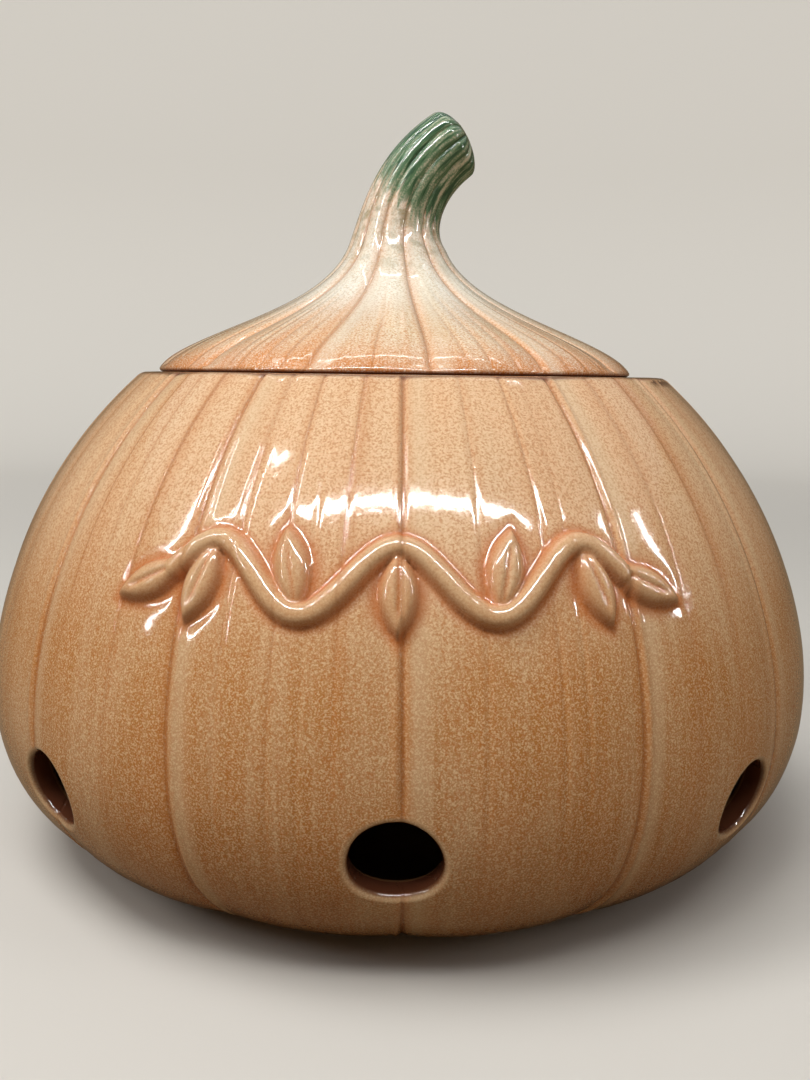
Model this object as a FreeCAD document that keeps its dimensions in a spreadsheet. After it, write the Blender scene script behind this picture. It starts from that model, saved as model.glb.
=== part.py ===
import FreeCAD, Part

# Onion keeper: a round glazed jar with a ring of air vents, and a loose lid whose handle is an
# onion's bent neck. Jar and lid are one-piece ceramic shells with shallow creases, as on an onion's
# skin, and a vine of plain leaves is raised on the jar's front. Millimetres, +Z up, origin at the
# centre of the face that the jar stands on, and -Y is the front, where one vent faces the viewer.

import math
import os

import Sketcher
from FreeCAD import Placement, Rotation, Vector

X_AXIS = Vector(1, 0, 0)
Y_AXIS = Vector(0, 1, 0)
Z_AXIS = Vector(0, 0, 1)
FRONT_DEG = -90.0
DOWN_DEG = -90.0
QUARTER_TURN = 90.0
HALF_TURN = 180.0
FULL_TURN = 360.0

# Rings that each loft passes through, and the slopes of the rings over the handle's domed tip
BASE_RINGS = 5
UNDER_RINGS = 2
OVER_RINGS = 2
SHOULDER_RINGS = 5
BELL_RINGS = 9
BEND_RINGS = 5
DOME_DEGS = (35.0, 60.0, 80.0)

# Creases in the skin: degrees from the front towards +X, and how far the low end leans that way
JAR_CREASE_DEGS = (
    (-153.0, 0.8), (-127.0, -1.0), (-100.0, 1.0), (-74.0, 2.0), (-48.3, 2.4), (-25.2, 3.6), (0.3, 0.8),
    (26.2, -2.2), (51.8, -2.6), (77.0, -1.6), (103.0, -0.8), (129.0, 0.8), (155.0, 0.6), (180.5, -0.5),
)
LID_CREASE_DEGS = (
    (-147.0, 0.0), (-121.0, 1.5), (-95.0, -1.0), (-69.5, -1.5), (-43.0, -2.0), (-16.0, -1.5), (11.5, -4.0),
    (41.0, -8.0), (64.0, -5.0), (88.0, -2.0), (113.0, 1.0), (138.0, 0.0), (163.5, -1.0), (188.0, 1.0),
)

# A leaf grows from each turn of the vine, counted in half waves from the front, into its hollow
LEAF_TURNS = (-2, -1, 0, 1, 2)
VINE_STATIONS = 31

# Each driving size, in millimetres, degrees or copies
SIZES = {
    # Jar outline, from its widest ring down to the foot and up to the rim
    "belly_radius": 120.0,
    "belly_height": 47.2,
    "jar_height": 134.0,
    "under_arc": 54.0,
    "under_turn": 18.0,
    "over_arc": 90.0,
    "over_turn": 14.0,
    "shoulder_arc": 128.0,
    "foot_height": 1.5,
    "foot_radius": 78.0,
    "foot_width": 10.0,
    "foot_sink": 3.5,
    # Jar inside
    "jar_wall": 7.0,
    "floor_thickness": 7.0,
    "mouth_radius": 65.0,
    "lip_depth": 3.0,
    "throat_depth": 12.0,
    "rim_round": 6.0,
    "rim_bite": 0.1,
    # Depth of the creases, which part jar and lid into lobes
    "jar_crease": 1.3,
    "lid_crease": 1.5,
    # Vine on the jar's front: a wavy stem, and leaves that are spheroids sunk into the wall
    "vine_height": 92.5,
    "vine_half": 50.0,
    "vine_wave": 7.5,
    "vine_half_wave": 20.0,
    "vine_radius": 2.6,
    "vine_sink": 0.5,
    "vine_dive": 3.4,
    "leaf_half": 9.4,
    "leaf_radius": 4.4,
    "leaf_sink": 2.1,
    "leaf_reach": 10.0,
    "leaf_lean": 14.0,
    "end_leaf_reach": 6.0,
    "end_leaf_droop": 30.0,
    # Air vents in the jar's wall
    "vent_count": 8,
    "vent_radius": 10.0,
    "vent_height": 34.8,
    "vent_round": 2.0,
    "vent_reach": 14.0,
    # Lid: a bell curve from its edge up to the neck
    "lid_radius": 70.0,
    "neck_radius": 12.2,
    "bell_spread": 20.4,
    "bell_power": 1.85,
    "lid_shift": -2.5,
    # Handle, which leans over towards +X
    "bend_start": 37.0,
    "bend_radius": 36.0,
    "bend_turn": 56.0,
    "tip_radius": 10.8,
    "tip_dome": 4.8,
    # Lid underside
    "ring_clearance": 3.0,
    "ring_width": 5.0,
    "ring_depth": 9.0,
    "ring_round": 2.0,
    "waist_radius": 24.4,
    "waist_wall": 8.8,
    "flue_radius": 5.0,
    "flue_wall": 7.0,
}

# Each size that follows from the driving ones
DERIVED = {
    "under_x": "belly_radius - under_arc * (1 - cos(under_turn))",
    "under_z": "belly_height - under_arc * sin(under_turn)",
    "base_arc": "(under_z - foot_height) / (1 - sin(under_turn))",
    "base_x": "under_x - base_arc * cos(under_turn)",
    "over_x": "belly_radius - over_arc * (1 - cos(over_turn))",
    "over_z": "belly_height + over_arc * sin(over_turn)",
    "shoulder_x": "over_x - shoulder_arc * cos(over_turn)",
    "shoulder_z": "over_z - shoulder_arc * sin(over_turn)",
    "rim_x": "shoulder_x + sqrt(pow(shoulder_arc; 2) - pow(jar_height - shoulder_z; 2))",
    "floor_z": "foot_height + floor_thickness",
    "in_belly_x": "belly_radius - jar_wall",
    "in_under_x": "under_x - jar_wall * cos(under_turn)",
    "in_under_z": "under_z + jar_wall * sin(under_turn)",
    "in_under_arc": "under_arc - jar_wall",
    "in_base_arc": "(in_under_z - floor_z) / (1 - sin(under_turn))",
    "in_base_x": "in_under_x - in_base_arc * cos(under_turn)",
    "in_over_x": "over_x - jar_wall * cos(over_turn)",
    "in_over_z": "over_z - jar_wall * sin(over_turn)",
    "in_over_arc": "over_arc - jar_wall",
    "in_shoulder_arc": "shoulder_arc - jar_wall",
    "throat_z": "jar_height - throat_depth",
    "throat_x": "shoulder_x + sqrt(pow(in_shoulder_arc; 2) - pow(throat_z - shoulder_z; 2))",
    "lip_z": "jar_height - lip_depth",
    "rim_sine": "(jar_height - shoulder_z) / shoulder_arc",
    "rim_cosine": "sqrt(1 - pow(rim_sine; 2))",
    "rim_seat": "rim_round - rim_bite",
    "rim_centre_x": "rim_x - rim_seat * (1 - rim_sine) / rim_cosine",
    "rim_centre_z": "jar_height - rim_seat",
    "rim_side_x": "rim_centre_x + rim_round * rim_cosine",
    "rim_side_z": "rim_centre_z + rim_round * rim_sine",
    "rim_top_z": "rim_centre_z + rim_round",
    "rim_out_x": "rim_x + rim_round",
    "vine_sine": "(vine_height - shoulder_z) / shoulder_arc",
    "vine_wall_x": "shoulder_x + shoulder_arc * sqrt(1 - pow(vine_sine; 2))",
    "foot_inner": "foot_radius - foot_width",
    "foot_length": "foot_height + foot_sink",
    "vent_drop": "belly_height - vent_height",
    "vent_x": "belly_radius - under_arc + sqrt(pow(under_arc; 2) - pow(vent_drop; 2))",
    "vent_in": "-vent_reach",
    "vent_out": "jar_wall",
    "vent_flare_u": "-vent_round",
    "vent_flare_v": "vent_radius + vent_round",
    "ring_radius": "mouth_radius - ring_clearance",
    "ring_inner": "ring_radius - ring_width",
    "ring_foot_z": "-ring_depth",
    "ring_side_z": "ring_round - ring_depth",
    "ring_outer_foot": "ring_radius - ring_round",
    "ring_inner_foot": "ring_inner + ring_round",
    "waist_fall": "-log((waist_radius - neck_radius) / (lid_radius - neck_radius))",
    "waist_z": "bell_spread * pow(waist_fall; 1 / bell_power) - waist_wall",
    "stem_length": "bend_start + bend_radius * bend_turn * pi / 180",
    "flue_z": "bend_start - flue_wall",
    "flue_top_z": "flue_z + flue_radius",
}

doc = FreeCAD.newDocument("onion_keeper")
sheet = doc.addObject("Spreadsheet::Sheet", "sizes")

for row, (name, value) in enumerate(SIZES.items(), start=1):
    sheet.set(f"A{row}", name)
    sheet.set(f"B{row}", str(value))
    sheet.setAlias(f"B{row}", name)
for row, (name, formula) in enumerate(DERIVED.items(), start=len(SIZES) + 2):
    sheet.set(f"A{row}", name)
    sheet.set(f"B{row}", "=" + formula)
    sheet.setAlias(f"B{row}", name)
doc.recompute()


def size(name):
    """The value of one cell of the sheet, or zero for no cell."""
    return float(sheet.get(name)) if name else 0.0


def rim_point(distance, degrees):
    """The point of a ring at some degrees from the front."""
    angle = math.radians(FRONT_DEG + degrees)
    return Vector(distance * math.cos(angle), distance * math.sin(angle), 0)


def rosette(radius, crease, creases, share, placement):
    """A closed ring of lobes, each one arc. Crests lie on radius and creases lie inside it.
    Share is how far up the ring is, and the creases lean with the square of what is left."""
    degrees = [azimuth + lean * (1 - share) ** 2 for azimuth, lean in creases]
    arcs = []
    for first, last in zip(degrees, degrees[1:] + [degrees[0] + FULL_TURN]):
        start = rim_point(radius - crease, first)
        end = rim_point(radius - crease, last)
        arcs.append(Part.Arc(start, rim_point(radius, (first + last) / 2), end).toShape())
    ring = Part.Wire(arcs)
    ring.Placement = placement
    return ring


def arc_stations(centre_x, centre_z, arc, from_deg, to_deg, count):
    """Radius and height at even steps along one arc of the outline, without its far end.
    Degrees are those of the wall's normal above the horizontal."""
    step_deg = (to_deg - from_deg) / count
    angles = [math.radians(from_deg + step_deg * step) for step in range(count)]
    return [
        (centre_x + arc * math.cos(angle), centre_z + arc * math.sin(angle)) for angle in angles
    ]


def jar_stations():
    """Radius and height along the jar's outline, which is four arcs tangent to each other."""
    base_z = size("foot_height") + size("base_arc")
    belly_z = size("belly_height")
    under_x = size("belly_radius") - size("under_arc")
    over_x = size("belly_radius") - size("over_arc")
    under_deg = -size("under_turn")
    over_deg = size("over_turn")
    rim_deg = math.degrees(math.asin(size("rim_sine")))
    shoulder = (size("shoulder_x"), size("shoulder_z"), size("shoulder_arc"))
    return [
        *arc_stations(size("base_x"), base_z, size("base_arc"), DOWN_DEG, under_deg, BASE_RINGS),
        *arc_stations(under_x, belly_z, size("under_arc"), under_deg, 0.0, UNDER_RINGS),
        *arc_stations(over_x, belly_z, size("over_arc"), 0.0, over_deg, OVER_RINGS),
        *arc_stations(*shoulder, over_deg, rim_deg, SHOULDER_RINGS),
        (size("rim_x"), size("jar_height")),
    ]


def wall_frame(along, above, lift):
    """Where a spot of the jar's shoulder lies and how it faces: X runs round the jar and Z leaves
    the wall. Along is a length round the jar from the front, and above is one up from the vine."""
    azimuth = along / size("vine_wall_x")
    rise = math.asin(size("vine_sine")) + above / size("shoulder_arc")
    distance = size("shoulder_x") + (size("shoulder_arc") + lift) * math.cos(rise)
    place = rim_point(distance, math.degrees(azimuth))
    place.z = size("shoulder_z") + (size("shoulder_arc") + lift) * math.sin(rise)
    round_wall = Rotation(Z_AXIS, math.degrees(azimuth))
    tip_up = Rotation(X_AXIS, QUARTER_TURN - math.degrees(rise))
    return Placement(place, round_wall * tip_up)


def wave(along):
    """Height of the vine's middle line, which has a turn at the front."""
    return size("vine_wave") * math.cos(math.pi * along / size("vine_half_wave"))


def vine_stem():
    """The vine's stem: a circle swept along the wave, whose ends dive into the wall."""
    points = []
    for station in range(VINE_STATIONS):
        share = 2 * station / (VINE_STATIONS - 1) - 1
        along = share * size("vine_half")
        lift = -size("vine_sink") - (size("vine_dive") - size("vine_sink")) * share ** 12
        points.append(wall_frame(along, wave(along), lift).Base)
    line = Part.BSplineCurve()
    line.interpolate(points)
    start = Part.Circle(points[0], line.tangent(line.FirstParameter)[0], size("vine_radius"))
    return Part.Wire([line.toShape()]).makePipeShell([Part.Wire([start.toShape()])], True, False)


def vine_leaf(foot, reach, degrees):
    """One leaf: half an ellipse turned about its long axis and sunk into the wall. Its middle lies
    a reach from the foot, a spot on the vine's middle line, at some degrees from level."""
    ellipse = Part.Ellipse(Vector(0, 0, 0), size("leaf_half"), size("leaf_radius"))
    arc = Part.ArcOfEllipse(ellipse, 0, math.pi).toShape()
    axis = Part.LineSegment(arc.Vertexes[-1].Point, arc.Vertexes[0].Point).toShape()
    leaf = Part.Face(Part.Wire([arc, axis])).revolve(Vector(0, 0, 0), X_AXIS, FULL_TURN)
    angle = math.radians(degrees)
    place = wall_frame(
        foot + reach * math.cos(angle), wave(foot) + reach * math.sin(angle), -size("leaf_sink"))
    leaf.Placement = place * Placement(Vector(0, 0, 0), Rotation(Z_AXIS, degrees))
    return leaf


def vine_leaves():
    """The vine's leaves: one in each hollow, leaning away from the front, and one at each end."""
    leaves = []
    for turn in LEAF_TURNS:
        foot = turn * size("vine_half_wave")
        aside = size("leaf_lean") * (turn > 0) - size("leaf_lean") * (turn < 0)
        into_hollow = -math.copysign(1, wave(foot))
        leaves.append(vine_leaf(foot, size("leaf_reach"), into_hollow * (QUARTER_TURN - aside)))
    for end, degrees in ((1, -size("end_leaf_droop")), (-1, size("end_leaf_droop") - HALF_TURN)):
        leaves.append(vine_leaf(end * size("vine_half"), size("end_leaf_reach"), degrees))
    return leaves


def jar_form():
    """The jar's solid outer form: a loft through its lobed rings, with the vine on its shoulder."""
    rings = []
    for radius, height in jar_stations():
        crease = size("jar_crease") * radius / size("belly_radius")
        share = (height - size("foot_height")) / (size("jar_height") - size("foot_height"))
        place = Placement(Vector(0, 0, height), Rotation())
        rings.append(rosette(radius, crease, JAR_CREASE_DEGS, share, place))
    return Part.makeLoft(rings, True).fuse([vine_stem(), *vine_leaves()])


def bell_radius(run):
    """The lid's radius at a run along its middle line: a bell curve from its edge to the neck."""
    flare = size("lid_radius") - size("neck_radius")
    return size("neck_radius") + flare * math.exp(-((run / size("bell_spread")) ** size("bell_power")))


def lid_ring(radius, run, placement):
    """One ring of the lid, with creases that grow shallower towards the neck."""
    crease = size("lid_crease") * math.sqrt(radius / size("lid_radius"))
    return rosette(radius, crease, LID_CREASE_DEGS, min(run / size("stem_length"), 1.0), placement)


def lid_form():
    """The lid's solid outer form: a loft up the bell, round the handle's bend and over its tip."""
    rings = []
    for step in range(BELL_RINGS):
        height = size("bend_start") * step / BELL_RINGS
        place = Placement(Vector(0, 0, height), Rotation())
        rings.append(lid_ring(bell_radius(height), height, place))
    arc = size("bend_radius")
    slimming = size("neck_radius") - size("tip_radius")
    for step in range(BEND_RINGS + 1):
        share = step / BEND_RINGS
        turn = math.radians(size("bend_turn")) * share
        place = Vector(arc * (1 - math.cos(turn)), 0, size("bend_start") + arc * math.sin(turn))
        run = size("bend_start") + arc * turn
        tilt = Rotation(Y_AXIS, math.degrees(turn))
        rings.append(lid_ring(bell_radius(run) - slimming * share, run, Placement(place, tilt)))
    lean = Rotation(Y_AXIS, size("bend_turn"))
    for dome_deg in DOME_DEGS:
        rise = size("tip_dome") * math.sin(math.radians(dome_deg))
        radius = size("tip_radius") * math.cos(math.radians(dome_deg))
        tip = Placement(place + lean.multVec(Z_AXIS) * rise, lean)
        rings.append(lid_ring(radius, size("stem_length"), tip))
    return Part.makeLoft(rings, True)


def add_form(name, shape):
    """Put a computed solid into the document."""
    form = doc.addObject("Part::Feature", name)
    form.Shape = shape
    return form


def add_body(name, form):
    """A body that starts from a computed outer form."""
    body = doc.addObject("PartDesign::Body", name)
    body.Label = name
    body.BaseFeature = form
    doc.recompute()
    return body


def origin_item(body, role):
    """A plane or an axis of the body's own origin."""
    return next(item for item in body.Origin.OriginFeatures if item.Role == role)


def add_sketch(body, name, role):
    """An empty sketch on one of the body's origin planes."""
    sketch = body.newObject("Sketcher::SketchObject", name)
    sketch.AttachmentSupport = [(origin_item(body, role), "")]
    sketch.MapMode = "FlatFace"
    return sketch


def bind(sketch, kind, arguments, cell):
    """Add a constraint whose value follows a cell."""
    index = sketch.addConstraint(Sketcher.Constraint(kind, *arguments, size(cell)))
    sketch.setExpression(f"Constraints[{index}]", f"sizes.{cell}")


def arc_between(start, end, radius, side):
    """The arc from start to end, with its centre to the left of the way for side 1, else right."""
    middle = (start + end) / 2
    chord = end - start
    offset = math.sqrt(radius ** 2 - (chord.Length / 2) ** 2)
    left = Vector(-chord.y, chord.x, 0).normalize()
    centre = middle + left * offset * side
    first, last = (start, end) if side > 0 else (end, start)
    angles = [math.atan2(point.y - centre.y, point.x - centre.x) for point in (first, last)]
    return Part.ArcOfCircle(Part.Circle(centre, Z_AXIS, radius), *angles)


def draw_outline(sketch, corners):
    """Draw a closed outline. Each corner is its x cell, its y cell and the way to the next corner:
    None for a straight line, else a radius cell and the side that the arc's centre is on."""
    points = [Vector(size(x_cell), size(y_cell), 0) for x_cell, y_cell, _ in corners]
    ends = []
    for index, (_, _, way) in enumerate(corners):
        start, end = points[index], points[(index + 1) % len(points)]
        if way is None:
            edge = sketch.addGeometry(Part.LineSegment(start, end), False)
            ends.append((edge, 1, 2))
        else:
            radius_cell, side = way
            edge = sketch.addGeometry(arc_between(start, end, size(radius_cell), side), False)
            ends.append((edge, 1, 2) if side > 0 else (edge, 2, 1))
    for index, (edge, _, last) in enumerate(ends):
        follower, first, _ = ends[(index + 1) % len(ends)]
        sketch.addConstraint(Sketcher.Constraint("Coincident", edge, last, follower, first))
    for (edge, first, _), (x_cell, y_cell, way) in zip(ends, corners):
        if x_cell:
            bind(sketch, "DistanceX", (-1, 1, edge, first), x_cell)
        else:
            sketch.addConstraint(Sketcher.Constraint("PointOnObject", edge, first, -2))
        if y_cell:
            bind(sketch, "DistanceY", (-1, 1, edge, first), y_cell)
        else:
            sketch.addConstraint(Sketcher.Constraint("PointOnObject", edge, first, -1))
        if way is not None:
            bind(sketch, "Radius", (edge,), way[0])


def draw_circle(sketch, radius_cell):
    """Draw a circle round the sketch's origin."""
    circle = sketch.addGeometry(Part.Circle(Vector(0, 0, 0), Z_AXIS, size(radius_cell)), False)
    sketch.addConstraint(Sketcher.Constraint("Coincident", circle, 3, -1, 1))
    bind(sketch, "Radius", (circle,), radius_cell)


def add_turn(body, kind, name, sketch, axis):
    """Add or cut a full turn of the sketch's outline about one of the sketch's own axes."""
    turned = body.newObject(f"PartDesign::{kind}", name)
    turned.Profile = sketch
    turned.ReferenceAxis = (sketch, [axis])
    turned.Angle = FULL_TURN
    doc.recompute()
    return turned


# Jar: the lobed form and its vine, hollowed, with a foot ring, a rounded rim and a ring of vents
jar = add_body("jar", add_form("jar_form", jar_form()))

foot_sketch = add_sketch(jar, "foot_outline", "XY_Plane")
draw_circle(foot_sketch, "foot_radius")
draw_circle(foot_sketch, "foot_inner")
foot = jar.newObject("PartDesign::Pad", "foot_ring")
foot.Profile = foot_sketch
foot.setExpression("Length", "sizes.foot_length")
doc.recompute()

hollow_sketch = add_sketch(jar, "hollow_outline", "XZ_Plane")
draw_outline(hollow_sketch, [
    (None, "floor_z", None),
    ("in_base_x", "floor_z", ("in_base_arc", 1)),
    ("in_under_x", "in_under_z", ("in_under_arc", 1)),
    ("in_belly_x", "belly_height", ("in_over_arc", 1)),
    ("in_over_x", "in_over_z", ("in_shoulder_arc", 1)),
    ("throat_x", "throat_z", None),
    ("mouth_radius", "lip_z", None),
    ("mouth_radius", "jar_height", None),
    (None, "jar_height", None),
])
add_turn(jar, "Groove", "hollow", hollow_sketch, "V_Axis")

rim_sketch = add_sketch(jar, "rim_outline", "XZ_Plane")
draw_outline(rim_sketch, [
    ("rim_side_x", "rim_side_z", ("rim_round", 1)),
    ("rim_centre_x", "rim_top_z", None),
    ("rim_out_x", "rim_top_z", None),
    ("rim_out_x", "rim_side_z", None),
])
add_turn(jar, "Groove", "rounded_rim", rim_sketch, "V_Axis")

# The vent's outline lies along its own axis, which stands square to the wall
vent_sketch = add_sketch(jar, "vent_outline", "YZ_Plane")
vent_sketch.setExpression("AttachmentOffset.Base.x", "-sizes.vent_x")
vent_sketch.setExpression("AttachmentOffset.Base.y", "sizes.vent_height")
vent_sketch.setExpression(
    "AttachmentOffset.Rotation.Angle", "180 deg + asin(sizes.vent_drop / sizes.under_arc)")
draw_outline(vent_sketch, [
    ("vent_in", None, None),
    ("vent_out", None, None),
    ("vent_out", "vent_flare_v", None),
    (None, "vent_flare_v", ("vent_round", -1)),
    ("vent_flare_u", "vent_radius", None),
    ("vent_in", "vent_radius", None),
])
vent = add_turn(jar, "Groove", "vent", vent_sketch, "H_Axis")
vents = jar.newObject("PartDesign::PolarPattern", "vents")
vents.Originals = [vent]
vents.Axis = (origin_item(jar, "Z_Axis"), [""])
vents.Angle = FULL_TURN
vents.setExpression("Occurrences", "sizes.vent_count")
jar.Tip = vents
doc.recompute()

# Lid: the bell and its bent handle, with a ring that drops into the mouth, and hollow below
lid = add_body("lid", add_form("lid_form", lid_form()))

ring_sketch = add_sketch(lid, "ring_outline", "XZ_Plane")
draw_outline(ring_sketch, [
    ("ring_inner", None, None),
    ("ring_inner", "ring_side_z", ("ring_round", 1)),
    ("ring_inner_foot", "ring_foot_z", None),
    ("ring_outer_foot", "ring_foot_z", ("ring_round", 1)),
    ("ring_radius", "ring_side_z", None),
    ("ring_radius", None, None),
])
add_turn(lid, "Revolution", "ring", ring_sketch, "V_Axis")

flue_sketch = add_sketch(lid, "flue_outline", "XZ_Plane")
draw_outline(flue_sketch, [
    (None, None, None),
    ("ring_inner", None, None),
    ("waist_radius", "waist_z", None),
    ("flue_radius", "flue_z", ("flue_radius", 1)),
    (None, "flue_top_z", None),
])
add_turn(lid, "Groove", "flue", flue_sketch, "V_Axis")

lid.setExpression("Placement.Base.x", "sizes.lid_shift")
lid.setExpression("Placement.Base.z", "sizes.jar_height")
doc.recompute()

faults = [item.Name for item in doc.Objects if "Invalid" in item.State or "Error" in item.State]
if faults:
    raise RuntimeError(f"failed to rebuild: {faults}")
nodes = [jar, lid]
for node in nodes:
    if node.Shape.isNull() or not node.Shape.isValid() or len(node.Shape.Solids) != 1:
        raise RuntimeError(f"not one valid solid: {node.Label}")

os.makedirs("parts", exist_ok=True)
for node in nodes:
    node.Shape.exportStep(f"parts/{node.Label}.step")
    box = node.Shape.BoundBox
    print(f"{node.Label}: {node.Shape.Volume:.0f} mm3, {box.XMin:.1f} to {box.XMax:.1f}, "
          f"{box.YMin:.1f} to {box.YMax:.1f}, {box.ZMin:.1f} to {box.ZMax:.1f}")
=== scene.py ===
"""The looks of an onion keeper: a glazed ceramic jar with air vents and a loose lid with a stem.

Jar and lid are each one closed skin. A skin starts from an outline that is carried round the
axis, and its folds, its raised vine and its vents are then worked into it. Lengths of the object
are in millimetres, as the potter would give them, and turn to metres where a mesh is made.
Azimuth 0 is the front, and it grows towards +X.
"""
import logging
import math
from dataclasses import dataclass, field
from enum import Enum
from typing import Any

import bpy
import numpy as np
from mathutils import Matrix, Vector


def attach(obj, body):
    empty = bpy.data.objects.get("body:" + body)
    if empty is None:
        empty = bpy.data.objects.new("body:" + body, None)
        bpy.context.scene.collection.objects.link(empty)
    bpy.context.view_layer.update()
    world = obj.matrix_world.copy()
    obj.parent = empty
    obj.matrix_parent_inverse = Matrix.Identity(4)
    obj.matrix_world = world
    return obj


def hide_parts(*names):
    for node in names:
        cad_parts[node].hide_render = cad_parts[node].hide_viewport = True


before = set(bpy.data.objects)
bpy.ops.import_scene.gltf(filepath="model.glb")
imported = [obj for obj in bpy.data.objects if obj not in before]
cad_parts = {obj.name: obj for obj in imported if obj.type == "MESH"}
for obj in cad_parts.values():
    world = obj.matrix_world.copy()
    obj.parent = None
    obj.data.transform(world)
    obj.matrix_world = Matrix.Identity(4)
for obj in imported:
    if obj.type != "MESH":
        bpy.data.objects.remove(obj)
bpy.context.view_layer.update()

MM = 0.001
SEAM_DEG = -157.5
FULL_TURN = 360.0
OUTLINE_STEP = 0.2
COLUMN_SAMPLES = 14400
COLUMN_BLUR = 40
PAST_END = 1.4

FoldRow = tuple[float, float, float, float, float, float, float]
"""Azimuth, lean, bow, depth, width, lip and upper end of one fold."""

Tree = bpy.types.NodeTree
Socket = bpy.types.NodeSocket
Sockets = dict[str, Socket]
Place = tuple[float, float, float]
Spot = tuple[float, float]
"""Distance from the axis and height of a point of an outline."""

logging.basicConfig(level=logging.INFO, format="%(message)s")
log = logging.getLogger("onion_keeper")


def linear(hex_colour: str) -> tuple[float, float, float, float]:
    """Turn an sRGB hex colour into linear light.

    Args:
        hex_colour: Six hex digits after a hash sign.

    Returns:
        Red, green, blue and an alpha of one.
    """
    parts = [int(hex_colour[start:start + 2], 16) / 255.0 for start in (1, 3, 5)]
    light = [part / 12.92 if part <= 0.04045 else ((part + 0.055) / 1.055) ** 2.4 for part in parts]
    return (light[0], light[1], light[2], 1.0)


def ease(value: np.ndarray, low: float, high: float) -> np.ndarray:
    """Rise from zero at low to one at high along 3t squared less 2t cubed.

    Args:
        value: The numbers to place between low and high.
        low: Where the rise starts.
        high: Where it ends, which may lie below low for a fall.

    Returns:
        Shares between zero and one.
    """
    share = np.clip((value - low) / (high - low), 0.0, 1.0)
    return share * share * (3.0 - 2.0 * share)


def bump(distance: np.ndarray, width: np.ndarray | float) -> np.ndarray:
    """A bell of height one: e to the power of minus the square of distance over width."""
    return np.exp(-((distance / width) ** 2))


def on_arc(centre: Spot, radius: float, angle: float) -> Spot:
    """The point of a circle at an angle above the horizontal, in radians."""
    return (centre[0] + radius * math.cos(angle), centre[1] + radius * math.sin(angle))


def arc_run(centre: Spot, radius: float, first_deg: float, last_deg: float) -> np.ndarray:
    """Points on a circle about the centre, at even steps of the angle above the horizontal.

    Args:
        centre: Its distance from the axis, and its height.
        radius: Radius of the arc.
        first_deg: Angle of the first point.
        last_deg: Angle of the last point.

    Returns:
        Rows of distance from the axis and height.
    """
    count = max(3, int(abs(math.radians(last_deg - first_deg)) * radius / OUTLINE_STEP))
    angles = np.radians(np.linspace(first_deg, last_deg, count))
    return np.stack([centre[0] + radius * np.cos(angles), centre[1] + radius * np.sin(angles)], axis=1)


def line_run(start: Spot, end: Spot) -> np.ndarray:
    """Points at even steps on the straight line from start to end."""
    count = max(2, int(math.dist(start, end) / OUTLINE_STEP))
    return np.linspace(start, end, count)


class Outline:
    """An outline in the half plane beside the axis, addressed by the length run along it."""

    def __init__(self, runs: dict[str, np.ndarray]) -> None:
        """Join the runs end to end, and mark the length at which each one ends.

        Args:
            runs: By name, rows of distance from the axis and height. A run starts where the last
                one ended.
        """
        points: list[np.ndarray] = []
        for run in runs.values():
            joined = bool(points) and np.hypot(*(run[0] - points[-1][-1])) < OUTLINE_STEP / 4
            points.append(run[1:] if joined else run)
        ends = np.cumsum([len(part) for part in points]) - 1
        self.points = np.concatenate(points)
        steps = np.hypot(*np.diff(self.points, axis=0).T)
        self.lengths = np.concatenate([[0.0], np.cumsum(steps)])
        self.marks = dict(zip(runs, self.lengths[ends]))
        along = np.gradient(self.points, axis=0)
        along /= np.maximum(np.hypot(*along.T), 1e-9)[:, None]
        self.normals = np.stack([along[:, 1], -along[:, 0]], axis=1)

    def at(self, run: np.ndarray) -> tuple[np.ndarray, np.ndarray, np.ndarray, np.ndarray]:
        """Read the outline at some lengths.

        Args:
            run: Lengths along the outline.

        Returns:
            Distance from the axis, height, and the two parts of the normal that leaves the clay.
        """
        columns = (self.points[:, 0], self.points[:, 1], self.normals[:, 0], self.normals[:, 1])
        radius, height, out, up = (np.interp(run, self.lengths, column) for column in columns)
        return radius, height, out, up

    def nearest(self, radius: float, height: float) -> float:
        """The length at which the outline comes nearest to a point."""
        return float(self.lengths[np.argmin(np.hypot(*(self.points - (radius, height)).T))])


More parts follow.
